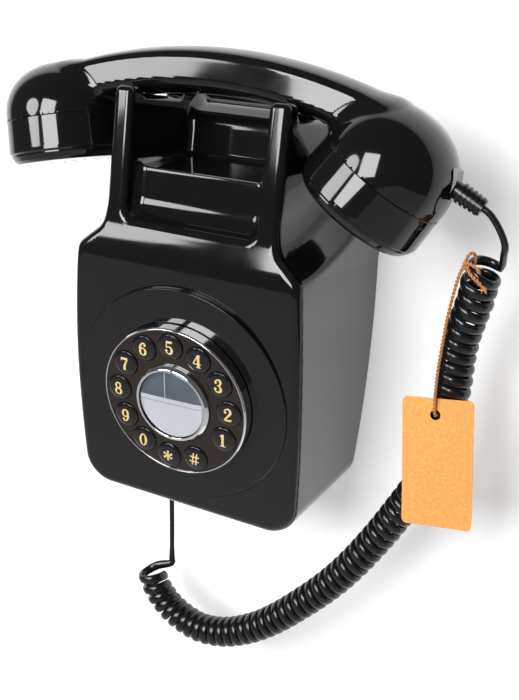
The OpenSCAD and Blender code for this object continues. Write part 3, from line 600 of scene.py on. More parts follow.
# %% [markdown]
# ## The case
# Seen from the front it is a box with rounded bottom corners, two sloping shoulders and a narrower neck. The neck
# ends in two posts that hold the handset. Seen from the side the keypad face leans back and meets the upright front
# at a soft ridge. All its faces bow a little. The shoulders climb towards the wall.

# %% Sizes of the case
CASE_D, CASE_W, LOW = 102, 121.6, -101.6
WIDEST, BOW, RIDGE = -48, -44, 28
HS_D = 75.5
SADDLE = 95.88
DIAL_Y, DIAL_Z = -93.8, -38


def face_y(z):
    """The keypad face: a leaning plane that bows back above the middle of the dial."""
    lean = (DIAL_Z - z) * math.tan(TILT) + np.maximum(0, z - BOW) ** 2 / 1600
    return DIAL_Y + 0.7 / math.cos(TILT) + lean


def to_dial(y, z):
    """Up the keypad face and out of it, from depth and height."""
    dy, dz = y - DIAL_Y, z - DIAL_Z
    return dz * math.cos(TILT) - dy * math.sin(TILT), -dy * math.cos(TILT) - dz * math.sin(TILT)


def case_plan(x, y, z):
    """The outline from the front, which grows a little towards the wall."""
    x = np.abs(x)
    climb = np.maximum(0, 1 + y / CASE_D)
    half = CASE_W / 2 + 1.5 * climb - 3.4 * ((np.minimum(z, 28) - WIDEST) / (28 - WIDEST)) ** 2
    corner = round_max(x - half, LOW + 3 * climb - z, 15)
    shoulder, foot = 28 + 35 * climb**1.45, 38 + 43.75 * climb**1.6
    reach = CASE_W / 2 + 1.5 * climb - 3.4
    rise = (foot - shoulder) / (reach - 45.7)
    roof = (z - shoulder - rise * (reach - x)) / np.sqrt(1 + rise**2 + 0.3 * climb)
    body = soft_max(corner, roof, 1.95)
    flare = np.clip((foot + 14 - z) / 14, 0, 1) ** 1.7
    neck = x - 43.2 - 2.5 * flare - 0.375 * np.clip((107 - z) / 50, 0, 1) * (1 - flare)
    return -soft_max(-body, -np.maximum(neck, shoulder - 12 - z), 2.34)


def case_outer(x, y, z):
    back = -soft_max(CASE_D + y, (y - face_y(RIDGE)) - (z - RIDGE) * (-CASE_D - face_y(RIDGE)) / 12, 0.6)
    front = soft_max(back, (face_y(z) - y) * math.cos(TILT), 3.2)
    post = round_max(z - 101, y + 91, 2)
    block = round_max(z - 104, -57.5 - y, 3)
    saddle = np.hypot(x + 3, z + 123) - 223.7
    top = round_min(round_min(post, np.maximum(saddle, z - 101), 1.5), block, 1.5)
    return round_max(round_max(case_plan(x, y, z), front, 4.0), top, 3.2)


def cradle_space(x, y, z):
    """The open room between the posts: a scoop, a shelf and a wall behind the handset."""
    shelf = round_max(-93 - y, (z - 66.5 - 5.5 * (y + 93) / 43) * 0.992, 0.8)
    steep, middle, top = (z - 89 - 2 * (y + 50)) / 2.24, (z - 93 - (y + 48) / 1.5) / 1.2, z - 97 - (y + 42) / 4.5
    behind = round_max(-50 - y, soft_max(np.maximum(steep, middle), top, 1), 1.5)
    floor = round_min(round_min(round_min(z - 42, shelf, 11), behind, 2), -33 - y, 3)
    return round_max(np.abs(x) - 33, -floor, 5)


def case_skin(x, y, z):
    return round_max(case_outer(x, y, z), -cradle_space(x, y, z), 3.2)


def case_field(x, y, z):
    skin = case_skin(x, y, z)
    shell = np.maximum(skin, -(skin + 2.5))
    up, out = to_dial(y, z)
    boss = np.maximum(np.maximum(np.hypot(x, up) - 43.4, -5.5 - out), out + 1.6)
    shell = np.minimum(shell, boss)
    dial_hole = np.maximum(np.hypot(x, up) - 37.3, -12 - out)
    plunger = np.maximum(np.hypot(np.abs(x) - 38.15, y + HS_D) - 2.6, SADDLE - 20 - z)
    gland = np.maximum(np.hypot(x + 38, y + 25) - 4.05, z + 90)
    screw = np.maximum(np.hypot(np.abs(x) - 32, y + 12) - 1.75, z + 90)
    return np.maximum(shell, -np.minimum(np.minimum(dial_hole, plunger), np.minimum(gland, screw)))


case = moulding(
    "case_shell_skin",
    surface(case_field, (-66.3, -107.4, -105.7), (66, 3, 107), 1.4, cuts=[((0, 1, 0), 0.0)]),
    FINISH["gloss_black"], "housing", ("case_shell",),
)  # fmt: skip

# %% [markdown]
# ## The handset
# An arched handle, flat on its front and back and slightly crowned on top, runs into two domed cups. Each cup leans
# inwards, and is cut flat where its cap meets it.

# %% Sizes and field of the handset
EAR = dict(place=(-85.3, -HS_D, 82.5), lean=math.radians(-12.8), dome=26.5)
MOUTH = dict(place=(78.4, -HS_D, 75.6), lean=math.radians(32.4), dome=31.0)
CUP_R = 30.0
CURVE = 2.22


def in_cup(cup, x, y, z):
    """Distance from the cup's axis and height above its seam."""
    c, s = math.cos(cup["lean"]), math.sin(cup["lean"])
    dx, dy, dz = x - cup["place"][0], y - cup["place"][1], z - cup["place"][2]
    return np.hypot(dx * c - dz * s, dy), dx * s + dz * c


def dome(cup, x, y, z):
    r, h = in_cup(cup, x, y, z)
    r, h = np.maximum(r, 1e-3) / CUP_R, np.maximum(h, 0) / cup["dome"]
    total = r**CURVE + h**CURVE
    q = total ** (1 / CURVE)
    g = np.hypot(r ** (CURVE - 1) / CUP_R, h ** (CURVE - 1) / cup["dome"]) * total ** (1 / CURVE - 1)
    return (q - 1) / np.maximum(g, 1e-4)


def handle(x, y, z):
    dx, dy, dz = x + 3, y + HS_D, z + 123
    from_centre = np.hypot(dx, dz)
    crown = (dy / 15) ** 2
    bar = round_max(from_centre - 245 + 4 * crown, 224 + 3 * crown - from_centre, 3)
    bar = round_max(bar, np.abs(dy) - 15, 3)
    a, b = math.radians(110), math.radians(69)
    ends = np.maximum(-dx * math.sin(a) + dz * math.cos(a), dx * math.sin(b) - dz * math.cos(b))
    return round_max(bar, ends, 5)


def handset_field(x, y, z):
    skin = round_min(round_min(handle(x, y, z), dome(EAR, x, y, z), 5), dome(MOUTH, x, y, z), 5)
    shell = np.maximum(skin, -(skin + 3))
    for cup in (EAR, MOUTH):
        r, h = in_cup(cup, x, y, z)
        shell = np.maximum(shell, -np.maximum(r - 38, h))
    dx, dz = x - 104, z - 77.2
    along = dx * 0.8944 - dz * 0.4472
    relief = np.maximum(np.hypot(dx * 0.4472 + dz * 0.8944, y + HS_D) - 3.85, -14 - along)
    return np.maximum(shell, -relief)


def seam_cut(cup):
    """The cup's seam as a flat face: its direction points down, out of the shell."""
    n = np.array((-math.sin(cup["lean"]), 0, -math.cos(cup["lean"])))
    return n, float(n @ np.array(cup["place"]))


def crisp_seams(made):
    """Pulls the points near a seam exactly onto it, so that the edge is sharp."""
    p, faces, slope = made
    for cup in (EAR, MOUTH):
        n, offset = seam_cut(cup)
        r, h = in_cup(cup, *p.T)
        near = (np.abs(h) < 0.8) & (r < 36)
        p[near] -= ((p[near] @ n) - offset)[:, None] * n
    return p, faces, slope


moulding(
    "handset_shell_skin",
    crisp_seams(surface(handset_field, (-120.4, -109.4, 56.3), (116, -42, 126), 1.1)),
    FINISH["gloss_black"], "handset", ("handset_shell",),
)  # fmt: skip

# %% [markdown]
# ## Turned parts
# Caps, rims, rings, the lens and the buttons are all round. Each is drawn as half of its cross-section, the corners
# are given small radii, and the outline is spun about an axis. The shading follows the outline exactly, so flat
# faces stay flat right up to their rounded edges.

# %% Outline with rounded corners
def rounded(corners, closed=False, steps=5):
    """Points and outward directions of an outline. Each corner is (radius from axis, height, corner radius)."""
    c = np.array([(a, b) for a, b, *_ in corners], float)
    radii = [r[2] if len(r) > 2 else 0.12 for r in corners]
    n = len(c)
    points, normals = [], []
    for i in range(n):
        if not closed and i in (0, n - 1):
            d = c[1] - c[0] if i == 0 else c[-1] - c[-2]
            d = d / np.linalg.norm(d)
            points.append(c[i])
            normals.append((d[1], -d[0]))
            continue
        a, b, e = c[i - 1], c[i], c[(i + 1) % n]
        u, w = (a - b) / np.linalg.norm(a - b), (e - b) / np.linalg.norm(e - b)
        half = math.acos(np.clip(u @ w, -1, 1)) / 2
        cut = min(radii[i] / math.tan(half), 0.48 * np.linalg.norm(a - b), 0.48 * np.linalg.norm(e - b))
        r = cut * math.tan(half)
        centre = b + (u + w) / np.linalg.norm(u + w) * r / math.sin(half)
        first, last = np.array((-u[1], u[0])), np.array((w[1], -w[0]))
        convex = first @ (b + u * cut - centre) > 0
        for t in np.linspace(0, 1, steps):
            m = (1 - t) * first + t * last
            m /= np.linalg.norm(m)
            points.append(centre + m * r * (1 if convex else -1))
            normals.append(m)
    return np.array(points), np.array(normals)


def turned(outline, frame, sides=96, closed=False):
    """Spins an outline. frame holds the origin and the three directions, the third being the axis."""
    p, m = outline
    origin, axes = frame
    k = np.arange(sides) * 2 * np.pi / sides
    c, s = np.cos(k), np.sin(k)
    points, normals, rows = [], [], []
    for (r, h), (a, b) in zip(p, m):
        if r < 1e-6:
            rows.append([len(points)] * sides)
            points.append((0, 0, h))
            normals.append((0, 0, math.copysign(1, b)))
        else:
            rows.append(list(range(len(points), len(points) + sides)))
            points += list(zip(r * c, r * s, np.full(sides, h)))
            normals += list(zip(a * c, a * s, np.full(sides, b)))
    rows = rows + [rows[0]] if closed else rows
    faces = []
    for low, high in zip(rows, rows[1:]):
        for j in range(sides):
            q = [low[j], low[(j + 1) % sides], high[(j + 1) % sides], high[j]]
            faces.append(tuple(dict.fromkeys(q)))
    axes = np.array(axes, float)
    return np.array(points) @ axes + origin, faces, np.array(normals) @ axes


def turned_piece(name, corners, frame, material, body, replaces=(), sides=96, closed=False, steps=5):
    p, faces, normals = turned(rounded(corners, closed, steps), frame, sides, closed)
    obj = piece(name, p, faces, material, body, replaces=replaces)
    obj.data.normals_split_custom_set_from_vertices(normals.tolist())
    return obj


def cup_frame(cup):
    c, s = math.cos(cup["lean"]), math.sin(cup["lean"])
    return np.array(cup["place"]), ((c, 0, -s), (0, 1, 0), (s, 0, c))


UP = (0, -math.sin(TILT), math.cos(TILT))
OUT = (0, -math.cos(TILT), -math.sin(TILT))
DIAL = (np.array((0, DIAL_Y, DIAL_Z)), ((1, 0, 0), UP, OUT))

# %% [markdown]
# ## Caps with sound holes
# A cap screws on below each seam. It has a fine groove near its lower edge and nineteen sound holes in rings. The
# holes repeat, so Geometry Nodes place the punches, and a boolean takes them out of the turned cap.

# %% Punches for the sound holes
def node_tree(name, inputs):
    tree = bpy.data.node_groups.new(name, "GeometryNodeTree")
    tree.interface.new_socket("Geometry", in_out="INPUT", socket_type="NodeSocketGeometry")
    for title, kind, value in inputs:
        tree.interface.new_socket(title, in_out="INPUT", socket_type="NodeSocket" + kind).default_value = value
    tree.interface.new_socket("Geometry", in_out="OUTPUT", socket_type="NodeSocketGeometry")
    return tree, tree.nodes.new("NodeGroupInput"), tree.nodes.new("NodeGroupOutput")


def add(tree, kind, **values):
    node = tree.nodes.new(kind)
    for key, value in values.items():
        if key[0].isupper():
            link(tree, value, node.inputs[key.replace("_", " ")])
        else:
            setattr(node, key, value)
    return node


def finish_tree(tree, instances, sink, material):
    real = add(tree, "GeometryNodeRealizeInstances", Geometry=instances)
    painted = add(tree, "GeometryNodeSetMaterial", Geometry=real.outputs["Geometry"], Material=material)
    tree.links.new(painted.outputs["Geometry"], sink.inputs["Geometry"])


def grown(name, tree, values, seed=None):
    """The plain mesh that a tree makes with these input values, from a seed mesh where it needs one."""
    seed = seed or bpy.data.meshes.new(name)
    obj = bpy.data.objects.new(name, seed)
    bpy.context.scene.collection.objects.link(obj)
    modifier = obj.modifiers.new("grow", "NODES")
    modifier.node_group = tree
    for item in tree.interface.items_tree:
        if item.item_type == "SOCKET" and item.in_out == "INPUT" and item.name in values:
            modifier[item.identifier] = values[item.name]
    bpy.context.view_layer.update()
    mesh = bpy.data.meshes.new_from_object(obj.evaluated_get(bpy.context.evaluated_depsgraph_get()))
    bpy.data.objects.remove(obj)
    return mesh


def make_punches():
    tree, source, sink = node_tree(
        "sound hole punches",
        [("Hole radius", "Float", 0.0011), ("Ring spacing", "Float", 0.006), ("Depth", "Float", 0.008)],
    )
    twice = maths(tree, "MULTIPLY", source.outputs["Ring spacing"], 2)
    middle = add(tree, "GeometryNodeMeshLine", Count=1)
    inner = add(tree, "GeometryNodeMeshCircle", Vertices=6, Radius=source.outputs["Ring spacing"])
    outer = add(tree, "GeometryNodeMeshCircle", Vertices=12, Radius=twice)
    join = add(tree, "GeometryNodeJoinGeometry")
    for ring in (middle, inner, outer):
        tree.links.new(ring.outputs["Mesh"], join.inputs["Geometry"])
    punch = add(
        tree, "GeometryNodeMeshCylinder", Vertices=20,
        Radius=source.outputs["Hole radius"], Depth=source.outputs["Depth"],
    )  # fmt: skip
    place = add(
        tree, "GeometryNodeInstanceOnPoints",
        Points=join.outputs["Geometry"], Instance=punch.outputs["Mesh"],
    )  # fmt: skip
    finish_tree(tree, place.outputs["Instances"], sink, FINISH["gloss_black"])
    return tree


def subtract(obj, cutter):
    modifier = obj.modifiers.new("cut", "BOOLEAN")
    modifier.operation = "DIFFERENCE"
    modifier.solver = "EXACT"
    modifier.object = cutter
    bpy.context.view_layer.update()
    mesh = bpy.data.meshes.new_from_object(obj.evaluated_get(bpy.context.evaluated_depsgraph_get()))
    obj.modifiers.clear()
    obj.data = mesh
    bpy.data.objects.remove(cutter)


def sharp_edges(mesh, degrees):
    """Smooth shading, with a crease wherever two faces meet at more than this angle."""
    work = bmesh.new()
    work.from_mesh(mesh)
    for edge in work.edges:
        edge.smooth = len(edge.link_faces) == 2 and edge.calc_face_angle(0) < math.radians(degrees)
    for face in work.faces:
        face.smooth = True
    work.to_mesh(mesh)
    work.free()


PUNCHES = make_punches()
CAP = [
    (0, -20.9), (27.3, -20.9, 1.6), (28.7, -19.6, 1.6), (30, -17.3, 0.8), (30, -16.5, 0.25), (30.8, -15.7, 0.4),
    (30.8, -14.2, 2), (30, -0.15, 0.45), (26.95, -0.15, 0.2), (26.95, 5, 0.3), (24.95, 5, 0.3), (24.6, -11.9, 0.3),
    (24.6, -17.9, 0.3), (0, -17.9),
]  # fmt: skip


def sound_cap(name, cup, node):
    frame = cup_frame(cup)
    cap = turned_piece(name, CAP, frame, FINISH["gloss_black"], "handset", (node,), sides=120)
    punches = bpy.data.objects.new(name + "_punches", grown("punches", PUNCHES, {"Hole radius": 0.0011}))
    bpy.context.scene.collection.objects.link(punches)
    turn = Matrix(frame[1]).transposed().to_4x4()
    punches.matrix_world = Matrix.Translation(Vector(frame[0]) * MM) @ turn @ Matrix.Translation((0, 0, -19.4 * MM))
    subtract(cap, punches)
    sharp_edges(cap.data, 35)
    print(name, len(cap.data.polygons), "faces")


sound_cap("ear_cap_turned", EAR, "ear_cap")
sound_cap("mouth_cap_turned", MOUTH, "mouth_cap")

# %% [markdown]
# ## The dial
# The keypad sits in a round well like an old dial. From outside in there is a wide black surround, a chrome rim, a
# brown plate with twelve buttons, and a chrome ring that holds a clear lens over a label.

# %% Surround, rim, ring and lens
def glass(name):
    material, tree, shader = new_material(name, (0.97, 0.98, 1.0), ior=1.46)
    shader.inputs["Transmission Weight"].default_value = 1.0
    shader.inputs["Roughness"].default_value = 0.02
    return material


FINISH["clear_lens"] = glass("clear lens")
RECESS = [(0, -1.6), (55.3, -1.6, 0.05), (55.3, 12, 0.05), (0, 12)]
SURROUND = [
    (38.3, -4.5, 0.1), (54.7, -4.5, 0.1), (54.7, -1.6, 0.05), (55, -1.6, 0.05), (55, -0.5, 0.3), (54.5, 0, 0.3),
    (38.3, 0, 0.3),
]  # fmt: skip
RIM = [(37.05, -1.3, 0.1), (38, -1.3, 0.1), (38, 5.9, 0.5), (37.5, 6.6, 0.3), (37.05, 6.6, 0.1)]
RING = [(17.2, 6.25, 0.1), (19.7, 6.25, 0.1), (19.7, 7.7, 0.8), (18.4, 9.2, 0.8), (17.2, 9.2, 0.35)]
LENS = [(0, 6.82), (17.05, 6.82, 0.1), (17.05, 8.4, 0.9), (14.5, 9.3, 6), (0, 9.5)]

recess = turned_piece("recess_cutter", RECESS, DIAL, FINISH["gloss_black"], None, sides=160)
subtract(case, recess)
made = np.zeros(len(case.data.vertices) * 3)
case.data.vertices.foreach_get("co", made)
shade(case.data, slope_of(case_field, made.reshape(-1, 3) / MM))
print("case with its recess:", len(case.data.polygons), "faces")
for node, outline, slot, sides in (
    ("dial_surround", SURROUND, "gloss_black", 160),
    ("dial_rim", RIM, "bright_chrome", 160),
    ("label_ring", RING, "bright_chrome", 120),
):
    turned_piece(node + "_turned", outline, DIAL, FINISH[slot], "housing", (node,), sides=sides, closed=True)
turned_piece(
    "label_lens_turned", LENS, DIAL, FINISH["clear_lens"], "housing", ("label_lens",), steps=8
)

# %% [markdown]
# ## Buttons and their digits
# Each button is a shallow dome with a printed sign: 1 to 9, 0, a star and a hash, in a bold face with slab serifs.
# A font would need a font file, so each sign is drawn here as a few broad pen strokes. A stroke is a line with a
# width at each point. The strokes are laid on the dome and ride on their own button.

# %% Buttons
KEYS = ["1", "2", "3", "4", "5", "6", "7", "8", "9", "0", "star", "hash"]
RING_R, FIRST, STEP = 29.45, -24.58, 28.87
BUTTON = [(0, -2.4), (2.2, -2.4, 0.2), (2.2, 2.2, 0.2), (7, 2.2, 0.2), (7, 3.7, 0.2), (6.3, 3.7, 0.1)]
DOME = [(6.3, 6.55, 0.35), (6.0, 6.95, 0.5), (5.0, 7.35, 2), (3.4, 7.68, 3), (1.7, 7.83, 4), (0, 7.86)]
dome_line = rounded(BUTTON + DOME)[0]
dome_line = dome_line[dome_line[:, 1] > 6.6][::-1]


def dome_height(x, y):
    return np.interp(np.hypot(x, y), dome_line[:, 0], dome_line[:, 1])


def key_frame(i):
    a = math.radians(FIRST + STEP * i)
    origin, axes = DIAL
    return origin + RING_R * (math.cos(a) * np.array(axes[0]) + math.sin(a) * np.array(axes[1])), axes


for i, key in enumerate(KEYS):
    turned_piece(
        f"button_{key}_turned", BUTTON + DOME, key_frame(i), FINISH["button_black"], f"key_{key}",
        (f"button_{key}",), sides=64,
    )  # fmt: skip


# %% Signs as pen strokes, in a box 4 wide and 6 high
def arc_stroke(cx, cy, rx, ry, start, end, widths, n=14):
    t = np.linspace(0, 1, n)
    a = np.radians(start + (end - start) * t)
    w = np.interp(t, np.linspace(0, 1, len(widths)), widths)
    return np.stack([cx + rx * np.cos(a), cy + ry * np.sin(a), w], 1)


def bar(x0, y0, x1, y1, w0, w1=None):
    return np.array([(x0, y0, w0), (x1, y1, w0 if w1 is None else w1)], float)


def ball(x, y, radius=0.3, width=0.62):
    """The round end of a curved stroke."""
    return arc_stroke(x, y, radius, radius, 0, 360, (width,))


def spoke(a):
    """A stroke from the middle of the box outwards, which widens as it goes."""
    return np.array([(2 + r * math.sin(a), 3 + r * math.cos(a), w) for r, w in ((0, 0.25), (0.9, 0.6), (1.9, 0.9))])


THICK, THIN = 1.15, 0.45
SIGNS = {
    "1": [bar(2.05, 0.2, 2.05, 5.95, THICK), bar(0.75, 0.22, 3.35, 0.22, THIN), bar(0.85, 4.75, 1.9, 5.7, 0.5, 0.7)],
    "2": [
        arc_stroke(2.0, 4.3, 1.3, 1.45, 175, -35, (0.75, 0.5, 0.75, THICK, 1.05)),
        np.array([(3.05, 3.5, 1.05), (2.1, 2.3, 0.85), (1.05, 1.2, 0.6), (0.6, 0.5, 0.5)]),
        bar(0.5, 0.45, 3.3, 0.45, 0.9), bar(3.45, 0.1, 3.6, 1.35, 0.4, 0.3), ball(1.0, 4.15),
    ],
    "3": [
        arc_stroke(1.9, 4.5, 1.2, 1.25, 165, -70, (0.6, 0.5, 0.8, 1.1, 0.8, 0.5)),
        arc_stroke(1.85, 1.65, 1.4, 1.5, 80, -165, (0.5, 0.9, 1.2, 1.0, 0.55, 0.6)),
        bar(1.5, 3.2, 2.3, 3.2, 0.45), ball(0.9, 4.4, 0.28, 0.6), ball(0.75, 1.6),
    ],
    "4": [
        bar(2.75, 0.2, 2.75, 5.9, THICK), bar(0.25, 1.75, 3.95, 1.75, 0.5), bar(0.4, 1.8, 2.5, 5.8, 0.45, 0.6),
        bar(1.75, 0.2, 3.75, 0.2, 0.42),
    ],
    "5": [
        bar(0.95, 5.5, 3.4, 5.5, 0.95), bar(0.9, 5.8, 0.8, 2.9, 0.45),
        arc_stroke(1.85, 1.9, 1.45, 1.65, 130, -160, (0.4, 0.55, 1.0, 1.2, 0.9, 0.5, 0.6)),
        ball(0.75, 1.55),
    ],
    "6": [
        arc_stroke(2.0, 1.9, 1.3, 1.65, 0, 360, (1.1, 0.5, 1.1, 0.5, 1.1)),
        arc_stroke(2.5, 2.9, 1.85, 2.85, 180, 75, (1.05, 0.9, 0.6, 0.45)), ball(3.0, 4.9, 0.28, 0.6),
    ],
    "7": [
        bar(0.5, 5.45, 3.5, 5.45, 0.95),
        np.array([(3.4, 5.3, 0.5), (2.5, 3.6, 0.75), (1.95, 2.0, 1.1), (1.85, 0.15, 1.25)]),
        bar(0.45, 5.9, 0.55, 4.5, 0.35, 0.45),
    ],
    "8": [
        arc_stroke(1.95, 4.45, 1.1, 1.25, 0, 360, (0.85, 0.45, 0.95, 0.5, 0.85)),
        arc_stroke(1.95, 1.65, 1.35, 1.45, 0, 360, (1.1, 0.5, 1.0, 0.45, 1.1)), bar(1.1, 3.5, 2.9, 2.6, 0.8),
    ],
    "9": [
        arc_stroke(2.0, 4.1, 1.3, 1.65, 0, 360, (1.1, 0.5, 1.1, 0.5, 1.1)),
        arc_stroke(1.5, 3.1, 1.85, 2.85, 0, -105, (1.05, 0.9, 0.6, 0.45)), ball(1.0, 1.1, 0.28, 0.6),
    ],
    "0": [arc_stroke(2.0, 3.0, 1.4, 2.75, 0, 360, (1.2, 0.45, 1.2, 0.45, 1.2), 28)],
    "star": [spoke(a) for a in np.radians(np.arange(0, 360, 60))],
    "hash": [
        bar(1.2, 0.7, 1.7, 5.3, 0.5), bar(2.5, 0.7, 3.0, 5.3, 0.5), bar(0.2, 2.1, 3.7, 2.1, 0.5),
        bar(0.4, 3.9, 3.9, 3.9, 0.5),
    ],
}  # fmt: skip
print(len(SIGNS), "signs")


# %% Laying the strokes on the buttons
def inked(stroke, scale, lift=0.045):
    """A thin strip along a stroke, on the dome. Straight strokes are cut into short lengths so that they bend."""
    if len(stroke) < 6:
        t = np.linspace(0, len(stroke) - 1, 9)
        stroke = np.stack([np.interp(t, np.arange(len(stroke)), stroke[:, k]) for k in range(3)], 1)
    xy = (stroke[:, :2] - (2, 3)) * scale
    ahead = np.gradient(xy, axis=0)
    ahead /= np.maximum(np.linalg.norm(ahead, axis=1), 1e-9)[:, None]
    side = np.stack([-ahead[:, 1], ahead[:, 0]], 1) * stroke[:, 2:] * scale / 2
    rows = []
    for share, rise in ((-1, -0.02), (-1, lift), (-0.33, lift), (0.33, lift), (1, lift), (1, -0.02)):
        q = xy + side * share
        rows.append(np.c_[q, dome_height(q[:, 0], q[:, 1]) + rise])
    n, k = len(xy), len(rows)
    points = np.stack(rows, 1).reshape(-1, 3)
    faces = [
        (i * k + (j + 1) % k, i * k + j, (i + 1) * k + j, (i + 1) * k + (j + 1) % k)
        for i in range(n - 1)
        for j in range(k)
    ]
    faces += [tuple(range(k)), tuple((n - 1) * k + j for j in range(k))[::-1]]
    return points, faces


def printed_ink():
    material, tree, shader = new_material("printed cream", (0.72, 0.5, 0.24))
    shader.inputs["Roughness"].default_value = 0.45
    worn = place_group(tree, GRAIN, Scale=4500.0).outputs["Mask"]
    link(tree, mixed(tree, worn, (0.55, 0.41, 0.17, 1), (0.78, 0.61, 0.28, 1)), shader.inputs["Base Color"])
    return material


FINISH["printed_cream"] = printed_ink()
DIGIT_SCALE, SIGN_SCALE = 1.12, 1.4
for i, key in enumerate(KEYS):
    points, faces = [], []
    for stroke in SIGNS[key]:
        p, f = inked(stroke, SIGN_SCALE if key in ("star", "hash") else DIGIT_SCALE)
        faces += [tuple(v + sum(map(len, points)) for v in q) for q in f]
        points.append(p)
    origin, axes = key_frame(i)
    placed = np.concatenate(points) @ np.array(axes, float) + origin
    piece(f"sign_{key}", placed, faces, FINISH["printed_cream"], f"key_{key}", smooth=False)

# %% [markdown]
# ## The swing tag and its string
# The tag is a card with round corners, one hole and a slight curl. Its mesh runs in rings from the hole out to the
# edge. The string is a twisted twine: Geometry Nodes sweep two strands along a curve whose tilt grows with its
# length. It goes from the hole up to a knot, over the top turn of the coil, and ends in two frayed tails.

# %% Card with a hole
TAG_PLACE, TAG_LEAN = np.array((119.4, -65.6, -48.4)), math.radians(-8.6)
TAG_RIGHT = np.array((math.cos(TAG_LEAN), 0, -math.sin(TAG_LEAN)))
TAG_UP = np.array((math.sin(TAG_LEAN), 0, math.cos(TAG_LEAN)))
TAG_W, TAG_H, HOLE, HOLE_R = 32.5, 61.0, np.array((-1.0, 22.8)), 2.4


def tag_outline(angle, corner=2.5):
    """Where a ray from the hole meets the round-cornered edge."""
    way = np.array((math.cos(angle), math.sin(angle)))
    low, high = 0.0, 80.0
    for _ in range(30):
        reach = (low + high) / 2
        u, v = reach * way + HOLE
        a, b = abs(u) - TAG_W / 2 + corner, abs(v) - TAG_H / 2 + corner
        inside = math.hypot(max(a, 0), max(b, 0)) + min(max(a, b), 0) < corner
        low, high = (reach, high) if inside else (low, reach)
    return low * way + HOLE


def tag_bend(u, v):
    """How far the card lifts off its plane: the low corners curl towards the viewer."""
    return -0.9 * np.clip((-v - 5) / 25, 0, 1) ** 2 * (0.4 + 0.6 * (u / 16) ** 2) + 0.3 * (u / 16) ** 2 - 0.1


def card(sides=160, rings=26, half=0.2):
    """Rings of points from the hole to the edge, on both faces, with seven extra rays at each corner."""
    corners = [math.atan2(sv * TAG_H / 2 - HOLE[1], su * TAG_W / 2 - HOLE[0]) for su in (-1, 1) for sv in (-1, 1)]
    angles = np.sort(np.concatenate([np.linspace(-math.pi, math.pi, sides - 28, endpoint=False)]
                                    + [c + np.linspace(-0.03, 0.03, 7) for c in corners]))
    edge = np.array([tag_outline(a) for a in angles])
    hole = HOLE + HOLE_R * np.stack([np.cos(angles), np.sin(angles)], 1)
    points = []
    for side in (-half, half):
        for t in np.linspace(0, 1, rings):
            flat = hole * (1 - t) + edge * t
            lift = tag_bend(flat[:, 0], flat[:, 1]) + side
            plane = TAG_PLACE + flat[:, :1] * TAG_RIGHT + flat[:, 1:] * TAG_UP
            points.append(plane + lift[:, None] * np.array((0, 1, 0)))
    n = len(angles)
    way_round = list(range(rings)) + list(range(2 * rings - 1, rings - 1, -1))
    faces = [
        (a * n + j, b * n + j, b * n + (j + 1) % n, a * n + (j + 1) % n)
        for a, b in zip(way_round, way_round[1:] + way_round[:1])
        for j in range(n)
    ]
    return np.vstack(points), faces


points, faces = card()
tag = piece("swing_tag_card", points, faces, FINISH["kraft_card"], "housing", replaces=("swing_tag",))
sharp_edges(tag.data, 40)
print(len(faces), "faces in the tag")


# %% Twisted string
def make_twine():
    tree, source, sink = node_tree(
        "twisted twine",
        [("Strand radius", "Float", 0.00045), ("Turns per metre", "Float", 280.0), ("Step", "Float", 0.0003)],
    )
    line = add(tree, "GeometryNodeMeshToCurve", Mesh=source.outputs["Geometry"])
    even = add(tree, "GeometryNodeResampleCurve", Curve=line.outputs["Curve"])
    even.mode = "LENGTH"
    tree.links.new(source.outputs["Step"], even.inputs["Length"])
    along = add(tree, "GeometryNodeSplineParameter")
    turns = maths(tree, "MULTIPLY", along.outputs["Length"], source.outputs["Turns per metre"])
    angle = maths(tree, "MULTIPLY", turns, 2 * math.pi)
    tilt = add(tree, "GeometryNodeSetCurveTilt", Curve=even.outputs["Curve"], Tilt=angle)
    ring = add(tree, "GeometryNodeCurvePrimitiveCircle", Resolution=8, Radius=source.outputs["Strand radius"])
    join = add(tree, "GeometryNodeJoinGeometry")
    for side in (-1, 1):
        shift = maths(tree, "MULTIPLY", source.outputs["Strand radius"], side * 0.92)
        place = add(tree, "ShaderNodeCombineXYZ", X=shift)
        moved = add(tree, "GeometryNodeTransform", Geometry=ring.outputs["Curve"], Translation=place.outputs["Vector"])
        strand = add(
            tree, "GeometryNodeCurveToMesh", Curve=tilt.outputs["Curve"], Profile_Curve=moved.outputs["Geometry"]
        )
        strand.inputs["Fill Caps"].default_value = True
        tree.links.new(strand.outputs["Mesh"], join.inputs["Geometry"])
    smooth = add(tree, "GeometryNodeSetShadeSmooth", Geometry=join.outputs["Geometry"])
    finish_tree(tree, smooth.outputs["Geometry"], sink, FINISH["twine"])
    return tree


def twine_along(line, tree, **values):
    """The mesh of the twine along one line of points in millimetres."""
    seed = bpy.data.meshes.new("line")
    seed.from_pydata([tuple(p) for p in line * MM], [(i, i + 1) for i in range(len(line) - 1)], [])
    return grown("twine", tree, values, seed)


STRING_LINE = [
    (115, -64.3, -26.8), (114.9, -65.4, -25.8), (114.5, -66.8, -24), (113.6, -67.5, -15), (113.3, -68.7, -4.2),
    (113.5, -69.5, 7), (113.8, -70, 18.7), (114.7, -70.3, 30), (115.9, -70.7, 38.9), (117.9, -71.6, 45),
]  # fmt: skip
LOOP_LINE = [
    (117.9, -71.6, 45), (118.3, -71.3, 47.4), (119.5, -70, 48.9), (120.6, -68, 47.8), (120.8, -67, 44.6),
    (119.6, -68.2, 42), (117.8, -70.8, 42.2), (117.4, -72.4, 44.2), (118.6, -74, 45.4), (121, -75.4, 45),
    (123.2, -76.2, 44.2),
]  # fmt: skip
TAIL_LINE = [
    (117.2, -71.6, 43.4), (117.9, -72.9, 44.9), (119.4, -73.4, 43), (121.2, -74.4, 40.6), (124.6, -74.6, 38.2),
    (126.4, -74.9, 36.9),
]  # fmt: skip
TWINE = make_twine()


